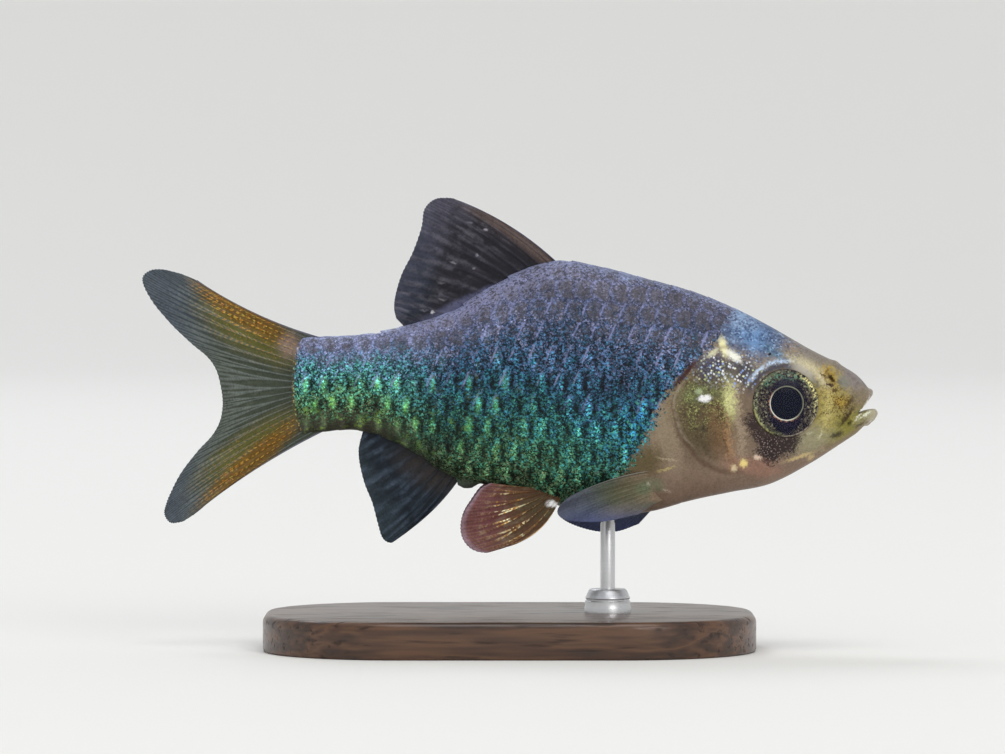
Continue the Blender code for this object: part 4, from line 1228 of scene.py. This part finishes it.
# Colours of web, rays and tips, how strongly the rays show, how clear the web is,
# and patches in the side view: centre, radii, tilt, softness, colour, strength
finLooks = {
    "dorsal": {
        "web": tint(30, 29, 36), "ray": tint(52, 50, 60), "tip": tint(78, 78, 93), "speck": tint(96, 94, 104),
        "rayShare": 0.4, "smudge": 0.5, "clear": 0.0, "patches": (
            ((-1.93, 12.6), (0.15, 0.11), 0, 0.8, tint(176, 172, 182), 0.7),
            ((-3.2, 13.2), (0.22, 0.09), -20, 0.8, tint(144, 140, 156), 0.6),
            ((-4.57, 10.0), (0.26, 0.09), -15, 0.8, tint(156, 156, 166), 0.65),
            ((-2.74, 10.6), (0.12, 0.1), 0, 0.8, tint(150, 146, 158), 0.6),
            ((-2.87, 9.5), (0.12, 0.09), 0, 0.8, tint(140, 136, 148), 0.6),
            ((-5.6, 8.3), (0.3, 0.08), -12, 0.8, tint(120, 120, 126), 0.55),
            ((-5.45, 6.98), (0.28, 0.08), -8, 0.8, tint(130, 128, 132), 0.55),
            ((-7.0, 6.1), (0.3, 0.06), -6, 0.8, tint(140, 140, 150), 0.5),
            ((-6.2, 5.9), (0.14, 0.1), 0, 0.6, tint(240, 240, 236), 0.95),
            ((-7.9, 8.6), (1.6, 3.9), -12, 0.7, tint(40, 48, 62), 0.7),
            ((-1.1, 7.55), (6.0, 0.6), 22.5, 0.5, tint(104, 106, 138), 0.75))},
    "anal": {
        "web": tint(21, 29, 38), "ray": tint(42, 52, 62), "tip": tint(40, 51, 56), "speck": tint(78, 90, 108),
        "rayShare": 0.5, "smudge": 0.35, "clear": 0.0, "patches": (
            ((-6.6, -7.0), (2.8, 1.3), -30, 0.7, tint(52, 46, 44), 0.8),)},
    "tail": {
        "web": tint(66, 72, 62), "ray": tint(104, 112, 109), "tip": tint(76, 84, 97), "speck": tint(150, 152, 146),
        "rayShare": 0.62, "smudge": 0.25, "clear": 0.0, "patches": ()},
    "pelvic": {
        "web": tint(80, 56, 38), "ray": tint(128, 88, 54), "tip": tint(112, 80, 84), "speck": tint(255, 236, 190),
        "rayShare": 0.5, "smudge": 0.2, "clear": 0.0, "patches": (
            ((-2.2, -10.4), (1.8, 2.6), -10, 0.7, tint(98, 56, 58), 0.95),
            ((2.4, -9.9), (1.5, 1.0), 0, 0.6, tint(74, 64, 42), 0.7),
            ((3.5, -9.6), (0.5, 0.28), -8, 0.5, tint(250, 248, 232), 1.0))},
    "pectoral": {
        "web": tint(74, 80, 72), "ray": tint(90, 96, 90), "tip": tint(92, 92, 106), "speck": tint(112, 114, 108),
        "rayShare": 0.2, "smudge": 0.15, "clear": 0.12, "patches": (
            ((9.2, -8.5), (2.2, 0.9), 14, 0.8, tint(84, 86, 62), 0.75),
            ((9.6, -10.0), (2.0, 0.6), 6, 0.8, tint(122, 110, 92), 0.6),
            ((5.2, -9.9), (2.0, 1.5), 10, 0.7, tint(76, 82, 98), 0.9),
            # Painted shade: a bluish-navy patch low on the fins, for the far fin seen from its shaded inner face
            ((8.0, -12.6), (6.0, 2.2), 0, 0.6, tint(64, 76, 122), 1.0),
            ((11.0, -8.3), (0.7, 0.5), 10, 0.9, tint(96, 122, 92), 0.5),
            ((11.2, -8.0), (0.2, 0.14), 0, 0.6, tint(180, 180, 164), 0.5))},
}


def finFinish(name, look):
    f = Finish(name + "Finish", {"IOR": 1.4, "Specular IOR Level": 0.2, "Coat Roughness": 0.25})
    place = f.place()
    ray, length, strength = f.parts(f.attribute("finPlace", "Vector"))
    cloudy = f.noise(place, 1.4, 3.0)
    grain = f.noise(place, 0.18, 2.0)
    # Streaks that run along the rays
    streaks = f.noise(f.node("CombineXYZ", {}, {0: ray * 2.6, 1: length * 3.0, 2: cloudy}), 1.0, 3.0)
    smears = f.noise(f.node("CombineXYZ", {}, {0: ray * 0.9, 1: length * 6.0, 2: cloudy * 2.0}), 1.0, 2.0)
    near, (luckA, luckB, luckC) = f.cells(place, 0.16)
    joint = f.maths("PINGPONG", length * 28.0 + f.maths("SINE", ray * 3.7) * 0.6 + luckC * 0.2, 0.5) * 2.0
    onRay = f.fade(strength, 0.0, 0.85)
    rays = f.layer(look["ray"], look["speck"], f.fade(joint, 0.5, 0.9) * f.fade(cloudy, 0.42, 0.6) * 0.2)
    if name == "tail":
        colour, gold, olive = tailColour(f, place)
        x, y, height = f.parts(place)
        rays = f.layer(rays, look["tip"], f.fade(x, -25.0, -28.0) * 0.5)
        beads = f.ramp(luckB, [(0.0, tint(176, 108, 40)), (0.5, tint(200, 148, 58)), (1.0, tint(180, 172, 84))])
        beadAt = f.fade(joint + (grain - 0.5) * 0.5, 0.35, 0.65) * f.fade(strength, 0.3, 0.8)
        colour = f.layer(colour, rays, onRay * (1 - gold * 0.85 - olive * 0.35) * look["rayShare"])
        finer = f.fade(height, -6.0, 0.0) * 0.4 + 0.6  # fainter on the lower lobe
        colour = f.layer(colour, beads, beadAt * (gold + olive * 0.45) * f.fade(smears, 0.3, 0.45) * finer)
        between = f.fade(luckA, 0.68, 0.9) * f.fade(near, 0.55, 0.3) * (gold + olive * 0.5)
        colour = f.layer(colour, f.scaled(beads, 0.8), between * 0.7)
        colour = f.layer(colour, tint(120, 118, 136), f.fade(ray + (cloudy - 0.5) * 0.4, 0.5, 0.15) * 0.7)
    else:
        colour = f.layer(look["web"], look["tip"], f.fade(length + (cloudy - 0.5) * 0.3, 0.6, 1.0))
        colour = f.layer(colour, rays, onRay * look["rayShare"])
    if name == "pectoral":
        flesh = f.scaled(tint(128, 110, 90)[:3], 0.8 + grain * 0.3)
        colour = f.layer(colour, flesh, f.fade(length + (cloudy - 0.5) * 0.3, 0.56, 0.26))
    rubbed = f.shaken(f.shaken(place, 0.9, 0.6), 0.25, 0.2)
    for centre, radii, tilt, soft, shade, share in look["patches"]:
        colour = f.layer(colour, shade, f.patch(rubbed, centre, radii, tilt, soft) * share * (1 - onRay * 0.3))
    smudge = f.fade(smears, 0.5, 0.75) * f.hump(length, 0.45, 0.35) * (0.4 + onRay * 0.6)
    colour = f.layer(colour, look["speck"], smudge * look["smudge"])
    if name == "pelvic":
        dashes = f.fade(smears + (grain - 0.5) * 0.3, 0.46, 0.56) * f.fade(strength, 0.45, 0.8)
        middle = f.hump(length + (cloudy - 0.5) * 0.3, 0.48, 0.2) * f.fade(ray, 6.4, 5.6)
        colour = f.layer(colour, f.layer(tint(200, 140, 52), look["speck"], f.fade(luckC, 0.3, 0.7)), dashes * middle)
        colour = f.layer(colour, tint(220, 170, 90), f.fade(ray, 0.14, 0.04) * f.hump(length, 0.5, 0.3) * 0.8)
        colour = f.layer(colour, tint(140, 116, 128), f.fade(length, 0.93, 0.985) * 0.8)
    if name in ("dorsal", "anal"):
        wide = f.maths("PINGPONG", ray * 1.5 + (streaks - 0.5) * 0.7, 0.5) * 2.0
        wide = f.fade(wide, 0.35, 0.9) * f.fade(length, 0.1, 0.6) * f.fade(cloudy, 0.35, 0.6)
        colour = f.layer(colour, look["speck"], wide * 0.4)
        colour = f.scaled(colour, 0.78 + streaks * 0.4)
    if name == "dorsal":
        colour = f.layer(colour, tint(102, 86, 80), f.hump(ray, 1.0, 0.8) * f.fade(length, 1.0, 0.7) * (1 - onRay * 0.4) * 0.8)
        colour = f.layer(colour, tint(120, 116, 146), f.fade(ray, 0.2, 0.06) * 0.8)
    if name == "pectoral":
        # Painted shade: a dark band along the fin's upper edge, under the body
        colour = f.layer(colour, tint(52, 50, 44), f.hump(ray, 0.4, 0.2) * f.fade(length, 0.9, 0.5) * 0.6)
        colour = f.layer(colour, tint(156, 154, 146), f.fade(ray, 0.2, 0.06) * f.fade(length, 1.0, 0.6) * 0.7)
    colour = f.layer(colour, tint(20, 20, 26), f.fade(near, 0.6, 0.2) * f.fade(luckB, 0.5, 0.9) * 0.3)
    streaked = 0.35 if name == "pectoral" else 0.8
    colour = f.scaled(colour, 0.9 + (streaks - 0.5) * streaked + (cloudy - 0.5) * 0.3 + (grain - 0.5) * 0.4 + luckC * 0.2)
    web = f.fade(strength, 0.6, 0.2)
    alpha = 1.0 - (web * 0.6 + 0.4) * look["clear"] * f.fade(length, 0.1, 0.5)
    f.bump(grain * 0.5 + f.fade(strength, 0.3, 0.9) * joint * 0.8, 0.02)
    return f.finish(colour=colour, alpha=alpha, roughness=0.45 + grain * 0.16, coat=0.05)


def makeFins():
    sink = finSizes["sink"]
    finishes = {name: finFinish(name, look) for name, look in finLooks.items()}
    dorsal = finSheet(finShapes["dorsalFin"], edgeRoot(finRoots["dorsal"], back, -sink, finRoots["dorsalCrowding"]))
    makeFin("dorsalFin", [dorsal], finishes["dorsal"], "fin", "dorsal_fin")
    anal = finSheet(finShapes["analFin"], edgeRoot(finRoots["anal"], belly, sink, finRoots["analCrowding"]))
    makeFin("analFin", [anal], finishes["anal"], "fin", "anal_fin")
    top, fork = finRoots["tailHalfHeight"], finRoots["tailFork"]
    tail = [finSheet(finShapes["upperTail"], tailRoot(top, fork)),
            finSheet(finShapes["lowerTail"], tailRoot(-top, fork))]
    makeFin("tailFin", tail, finishes["tail"], "tail_fin", "tail_fin_upper", "tail_fin_lower")
    for side, word in ((-1, "right"), (1, "left")):
        pelvic = finSheet(finShapes["pelvicFin"], pelvicRoot(side), side)
        makeFin(word + "PelvicFin", [pelvic], finishes["pelvic"], "pelvic_fin", "pelvic_fin_" + word)
        pectoral = finSheet(finShapes[word + "Pectoral"], pectoralRoot(side), side)
        makeFin(word + "PectoralFin", [pectoral], finishes["pectoral"], "pectoral_fin", "pectoral_fin_" + word)


# Eyes: an iris with a gold-rimmed pupil under a clear dome

def eyePlaced(bm, side):
    bm.transform(Matrix.Rotation(math.radians(-eyeSizes["yaw"]), 4, "Z"))
    centreY = float(sideOf(eyeSizes["x"], eyeSizes["height"])) - eyeSizes["sink"]

    def shape(spots):
        return np.stack([eyeSizes["x"] + spots[:, 0], side * (centreY + spots[:, 1]),
                         eyeSizes["height"] + spots[:, 2]], 1)

    mould(bm, shape)


# How far the iris and pupil stand out at a distance from the eye's middle
def irisOut(radius):
    share = radius / eyeSizes["radius"]
    dome = eyeSizes["bulge"] * np.sqrt(np.maximum(1 - share**2, 0))
    iris = np.minimum(dome - 0.1 * ease((1 - share) / 0.12), 0.34 + 0.1 * (1 - share))
    ring = 0.05 * hump(radius - eyeSizes["pupil"] - 0.07, 0.08)
    lens = 0.16 * np.sqrt(np.maximum(1 - (radius / eyeSizes["pupil"]) ** 2, 0)) - 0.05 * (radius < eyeSizes["pupil"])
    return iris + ring + lens


def eyeBall(name, side, clear):
    bm = bmesh.new()
    bmesh.ops.create_uvsphere(bm, u_segments=96, v_segments=64, radius=1.0)
    flat = {}

    def shape(spots):
        outward = spots[:, 2]
        ring = np.hypot(spots[:, 0], spots[:, 1])
        radius = ring * eyeSizes["radius"]
        if clear:
            front = eyeSizes["bulge"] * np.maximum(outward, 0)
            y = np.where(outward >= 0, front, -0.15 * np.abs(outward))
        else:
            y = np.where(outward > 0, irisOut(radius), eyeSizes["depth"] * outward)
        flat["place"] = np.stack([spots[:, 0] * eyeSizes["radius"], spots[:, 1] * eyeSizes["radius"],
                                  np.where(outward > 0, 1.0, 0.0)], 1)
        grow = 1.004 if clear else 1.0
        return np.stack([spots[:, 0] * eyeSizes["radius"] * grow, y, spots[:, 1] * eyeSizes["radius"] * grow], 1)

    mould(bm, shape)
    eyePlaced(bm, side)
    piece = newPiece(name, bm)
    addAttribute(piece.data, "eyePlace", flat["place"])
    return piece


def eyeFinish():
    f = Finish("eyeFinish", {"IOR": 1.4, "Specular IOR Level": 0.06})
    across, up, front = f.parts(f.attribute("eyePlace", "Vector"))
    place = f.place()
    radius = f.maths("SQRT", across * across + up * up)
    fine = f.noise(place, 0.3, 2.0)
    near, (luckA, luckB, luckC) = f.cells(place, 0.12)
    sideways = f.maths("ABSOLUTE", across) / (radius + 0.01)
    lowLeft = f.fade((across + up) * -1.0, -0.6, 1.6)
    specks = f.ramp(luckA, [(0.0, tint(26, 22, 32)), (0.4, tint(44, 38, 44)), (0.68, tint(74, 66, 62)),
                            (0.88, tint(106, 100, 84)), (1.0, tint(150, 146, 122))])
    colour = f.layer(tint(18, 18, 36), tint(34, 31, 52), f.fade(fine, 0.4, 0.7))
    beneath = f.fade(up, -0.4, -1.8) * (1 - sideways) * 0.45
    speckled = f.fade(radius + sideways * 0.6 - beneath + (fine - 0.5) * 0.4 + (luckB - 0.5) * 0.3, 2.05, 2.35)
    colour = f.layer(colour, specks, speckled * 0.9)
    olive = f.hump(radius, 2.58, 0.2) * f.fade(across, 0.2, -1.2)
    colour = f.layer(colour, tint(98, 102, 78), olive * f.fade(luckB, 0.1, 0.4) * 0.7)
    green = f.hump(radius, 2.25, 0.24) * f.fade(up, 1.0, 1.8) * f.fade(luckB, 0.5, 0.75)
    colour = f.layer(colour, tint(92, 148, 122), green * 0.7)
    gold = f.hump(radius, 2.5, 0.2) * f.fade(across, 0.6, 1.8) * f.fade(up, -1.6, 0.2) * f.fade(luckB, 0.5, 0.7)
    colour = f.layer(colour, tint(236, 224, 156), gold)
    pale = f.hump(radius, 2.58, 0.14) * f.fade(across, -1.2, -2.0) * f.fade(luckC, 0.55, 0.8)
    colour = f.layer(colour, tint(186, 190, 156), pale * 0.8)
    lime = f.hump(radius + (fine - 0.5) * 0.15, 2.66, 0.08) * f.fade(across, -0.6, -1.6) * f.fade(up, 0.1, -0.9)
    colour = f.layer(colour, tint(190, 188, 122), lime * f.fade(luckB, 0.15, 0.5) * 0.8)
    rim = f.hump(radius, 2.66, 0.05) * f.fade(across, -0.8, 0.6) * f.fade(up, 0.3, -1.0) * f.fade(fine, 0.3, 0.6)
    colour = f.layer(colour, tint(204, 192, 170), rim * 0.75)
    blush = f.hump(radius + (fine - 0.5) * 0.1, 1.47, 0.06) * lowLeft * f.fade(luckC, 0.3, 0.7)
    colour = f.layer(colour, tint(196, 132, 96), blush * 0.7)
    ring = f.hump(radius + (fine - 0.5) * 0.08, 1.37, 0.045)
    colour = f.layer(colour, f.layer(tint(150, 152, 128), tint(255, 244, 220), lowLeft), ring * (0.75 + lowLeft * 0.25))
    pupil = f.fade(radius, 1.34, 1.3)
    colour = f.layer(colour, tint(15, 19, 34), pupil)
    f.bump(fine + luckA * 0.4, 0.02)
    return f.finish(colour=colour, roughness=0.45 - pupil * 0.3, metallic=speckled * (1 - pupil) * 0.2)


# Clear gloss: only the share of light that water's edge would mirror
def corneaFinish():
    f = Finish("corneaFinish", {"Base Color": (1, 1, 1, 1), "Roughness": 0.22, "Metallic": 1.0})
    clear = f.tree.nodes.new("ShaderNodeBsdfTransparent")
    gloss = f.node("Fresnel", {}, {"IOR": 1.33})
    blend = f.tree.nodes.new("ShaderNodeMixShader")
    f.feed(blend.inputs[0], gloss * 0.35)
    f.tree.links.new(clear.outputs[0], blend.inputs[1])
    f.tree.links.new(f.shader.outputs[0], blend.inputs[2])
    f.tree.links.new(blend.outputs[0], f.tree.nodes["Material Output"].inputs["Surface"])
    return f.material


def makeEyes():
    iris, cornea = eyeFinish(), corneaFinish()
    for side, word in ((-1, "right"), (1, "left")):
        dress(eyeBall(word + "Eye", side, False), iris, "eye", "eye_" + word)
        dress(eyeBall(word + "Cornea", side, True), cornea, "eye")


# The stand: a rounded wooden base, a turned collar and a rod

standSizes = {
    "corner": 11.0,
    "edge": 0.6,
    "foot": 0.25,
    "rodRadius": 0.6,
    "rodReach": 0.45,  # how far the rod goes into the belly
    "groove": 0.12,
}


def millimetres(node):
    low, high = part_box(node)
    return np.array(low) / mm, np.array(high) / mm


def makeBase():
    low, high = millimetres("stand_base")
    bm = bmesh.new()
    bmesh.ops.create_cube(bm, size=1.0)
    bmesh.ops.scale(bm, verts=bm.verts, vec=high - low)
    bmesh.ops.translate(bm, verts=bm.verts, vec=(low + high) / 2)
    upright = [e for e in bm.edges if abs(e.verts[0].co.z - e.verts[1].co.z) > 0.1]
    bmesh.ops.bevel(bm, geom=upright, offset=standSizes["corner"], segments=24, affect="EDGES", profile=0.5,
                    material=-1)
    top = [e for e in bm.edges if all(v.co.z > high[2] - 0.1 for v in e.verts)]
    bmesh.ops.bevel(bm, geom=top, offset=standSizes["edge"], segments=5, affect="EDGES", profile=0.5, material=-1)
    bottom = [e for e in bm.edges if all(v.co.z < low[2] + 0.1 for v in e.verts)]
    bmesh.ops.bevel(bm, geom=bottom, offset=standSizes["foot"], segments=2, affect="EDGES", profile=0.5, material=-1)
    piece = newPiece("standBase", bm, 0)
    piece.data.set_sharp_from_angle(angle=math.radians(50))
    return piece


# A turned piece: the line through its profile is spun about an upright axis
def turned(name, profile, x, y, lift=0):
    bm = bmesh.new()
    line = [bm.verts.new((x + radius, y, height)) for radius, height in profile]
    edges = [bm.edges.new(pair) for pair in zip(line, line[1:])]
    bmesh.ops.spin(bm, geom=line + edges, cent=(x, y, 0), axis=(0, 0, 1), angle=2 * math.pi, steps=64, use_merge=True)
    bmesh.ops.remove_doubles(bm, verts=bm.verts, dist=1e-4)
    piece = newPiece(name, bm, lift)
    piece.data.set_sharp_from_angle(angle=math.radians(35))
    return piece


def makeStand():
    dress(makeBase(), woodFinish(), "stand_base", "stand_base")
    steel = steelFinish()
    low, high = millimetres("stand_collar")
    x, radius = (low[0] + high[0]) / 2, (high[0] - low[0]) / 2
    foot = millimetres("stand_base")[1][2] - 0.02
    collar = [(0, foot), (radius, foot), (radius, low[2] + 0.1), (radius * 0.97, low[2] + 0.25),
              (radius * 0.97, low[2] + 0.6), (radius * 0.93, low[2] + 0.68), (radius * 0.93, low[2] + 0.78),
              (radius * 0.96, low[2] + 0.86), (radius * 0.82, high[2] - 0.12), (radius * 0.74, high[2]), (0, high[2])]
    dress(turned("standCollar", collar, x, 0), steel, "stand_metal", "stand_collar")
    low, rodHigh = millimetres("stand_rod")
    y = (low[1] + rodHigh[1]) / 2
    reach, r = rodHigh[2] + standSizes["rodReach"], standSizes["rodRadius"]
    rod = [(0, high[2] - 0.3), (r, high[2] - 0.3), (r, reach - 0.75), (r * 0.9, reach - 0.62), (r * 0.9, reach), (0, reach)]
    dress(turned("standRod", rod, x, y), steel, "stand_metal", "stand_rod")


def woodFinish():
    f = Finish("standWood", {"IOR": 1.45, "Coat Roughness": 0.15})
    where = f.node("TexCoord", {}, {}, "Object")
    stretched = f.node("Mapping", {}, {"Vector": where, "Scale": (60, 620, 620)})
    rings = f.node("Mapping", {}, {"Vector": where, "Scale": (40, 300, 500), "Rotation": (0.2, 0.06, 0)})
    figure = f.noise(rings, 1.0, 3.0)
    bands = f.maths("PINGPONG", figure * 9.0, 1.0)
    pores = f.fade(f.noise(stretched, 0.35, 2.0), 0.56, 0.7)
    colour = f.ramp(bands, [(0.0, tint(52, 33, 22)), (0.55, tint(72, 47, 31)), (1.0, tint(90, 61, 41))])
    colour = f.layer(colour, tint(38, 23, 15), pores * 0.75)
    f.bump((1 - pores) * 0.6 + bands * 0.1, 0.04)
    return f.finish(colour=colour, roughness=0.36 + pores * 0.25, coat=0.35 - pores * 0.2)


def steelFinish():
    f = Finish("standSteel", {"Metallic": 1.0})
    where = f.node("TexCoord", {}, {}, "Object")
    turnedMarks = f.noise(f.node("Mapping", {}, {"Vector": where, "Scale": (200, 200, 9000)}), 1.0, 2.0)
    smudge = f.noise(f.node("Mapping", {}, {"Vector": where, "Scale": (500, 500, 500)}), 1.0, 2.0)
    colour = f.layer(tint(188, 190, 194), tint(206, 206, 208), turnedMarks)
    f.bump(turnedMarks, 0.008)
    return f.finish(colour=colour, roughness=0.24 + turnedMarks * 0.12 + smudge * 0.08)


# Floor, lights and camera

studio = {
    "floorRadius": 1.5,
    "wallHeight": 0.7,
    "cove": 0.6,
    "paper": tint(226, 225, 222),
    "viewCentre": (-0.57, 0.0, 22.15),  # of the photograph's frame
    "viewWidth": 81.8,
    "distance": 500.0,
    "rise": 1.5,  # degrees that the camera looks down
    "sensor": 36.0,
    "worldStrength": 0.62,
    # place, size, power and colour; each faces the fish
    "lamps": {
        "overhead": ((0.10, -0.30, 1.10), 0.6, 3.0, (1.0, 0.99, 0.97)),
        "front": ((0.50, -1.00, 0.60), 0.5, 3.2, (1.0, 0.98, 0.95)),
        "rim": ((-0.35, 0.70, 0.85), 0.4, 2.4, (0.92, 0.96, 1.0)),
    },
}


def makeStudio():
    scene = bpy.context.scene
    bm = bmesh.new()
    radius, cove = studio["floorRadius"], studio["cove"]
    corner = [(radius - cove + cove * math.sin(t), cove - cove * math.cos(t)) for t in np.linspace(0, math.pi / 2, 12)]
    profile = [(0.0, 0.0), *corner, (radius, studio["wallHeight"])]
    line = [bm.verts.new((r, 0, z)) for r, z in profile]
    edges = [bm.edges.new(pair) for pair in zip(line, line[1:])]
    bmesh.ops.spin(bm, geom=line + edges, cent=(0, 0, 0), axis=(0, 0, 1), angle=2 * math.pi, steps=96, use_merge=True)
    bmesh.ops.remove_doubles(bm, verts=bm.verts, dist=1e-5)
    bmesh.ops.recalc_face_normals(bm, faces=bm.faces)
    bmesh.ops.reverse_faces(bm, faces=bm.faces)
    mesh = bpy.data.meshes.new("backdrop")
    bm.to_mesh(mesh)
    bm.free()
    mesh.shade_smooth()
    backdrop = bpy.data.objects.new("backdrop", mesh)
    scene.collection.objects.link(backdrop)
    f = Finish("paperFinish", {"Roughness": 0.9})
    mesh.materials.append(f.finish(colour=studio["paper"]))

    world = bpy.data.worlds.new("studioLight")
    world.use_nodes = True
    world.node_tree.nodes["Background"].inputs["Color"].default_value = (0.9, 0.92, 0.95, 1)
    world.node_tree.nodes["Background"].inputs["Strength"].default_value = studio["worldStrength"]
    scene.world = world
    centre = Vector(studio["viewCentre"]) * mm
    for name, (where, size, power, colour) in studio["lamps"].items():
        light = bpy.data.lights.new(name, "AREA")
        light.shape = "SQUARE"
        light.size = size
        light.energy = power
        light.color = colour
        lamp = bpy.data.objects.new(name, light)
        lamp.location = where
        lamp.rotation_euler = (Vector(where) - centre).to_track_quat("Z", "Y").to_euler()
        scene.collection.objects.link(lamp)


def makeCamera():
    scene = bpy.context.scene
    centre = Vector(studio["viewCentre"]) * mm
    rise = math.radians(studio["rise"])
    camera = bpy.data.cameras.new("camera")
    camera.sensor_width = studio["sensor"]
    camera.lens = studio["sensor"] * studio["distance"] / studio["viewWidth"]
    camera.clip_start = 0.01
    seen = bpy.data.objects.new("camera", camera)
    away = Vector((0, -math.cos(rise), math.sin(rise)))
    seen.location = centre + away * studio["distance"] * mm
    seen.rotation_euler = away.to_track_quat("Z", "Y").to_euler()
    scene.collection.objects.link(seen)
    scene.camera = seen
    scene.view_settings.view_transform = "Standard"


makeCamera()
makeStudio()
print("studio ready")
dress(makeSkin(), coatFinish("barbSkinFinish", False), "head",
      "head", "lower_jaw", "gill_cover_left", "gill_cover_right", "trunk", "tail_stalk")
coat = coatFinish("barbScaleFinish", True)
dress(makeScales(-1, "rightScales"), coat, "scales")
dress(makeScales(1, "leftScales"), coat, "scales")
makeFins()
makeEyes()
makeStand()

print("all pieces made")
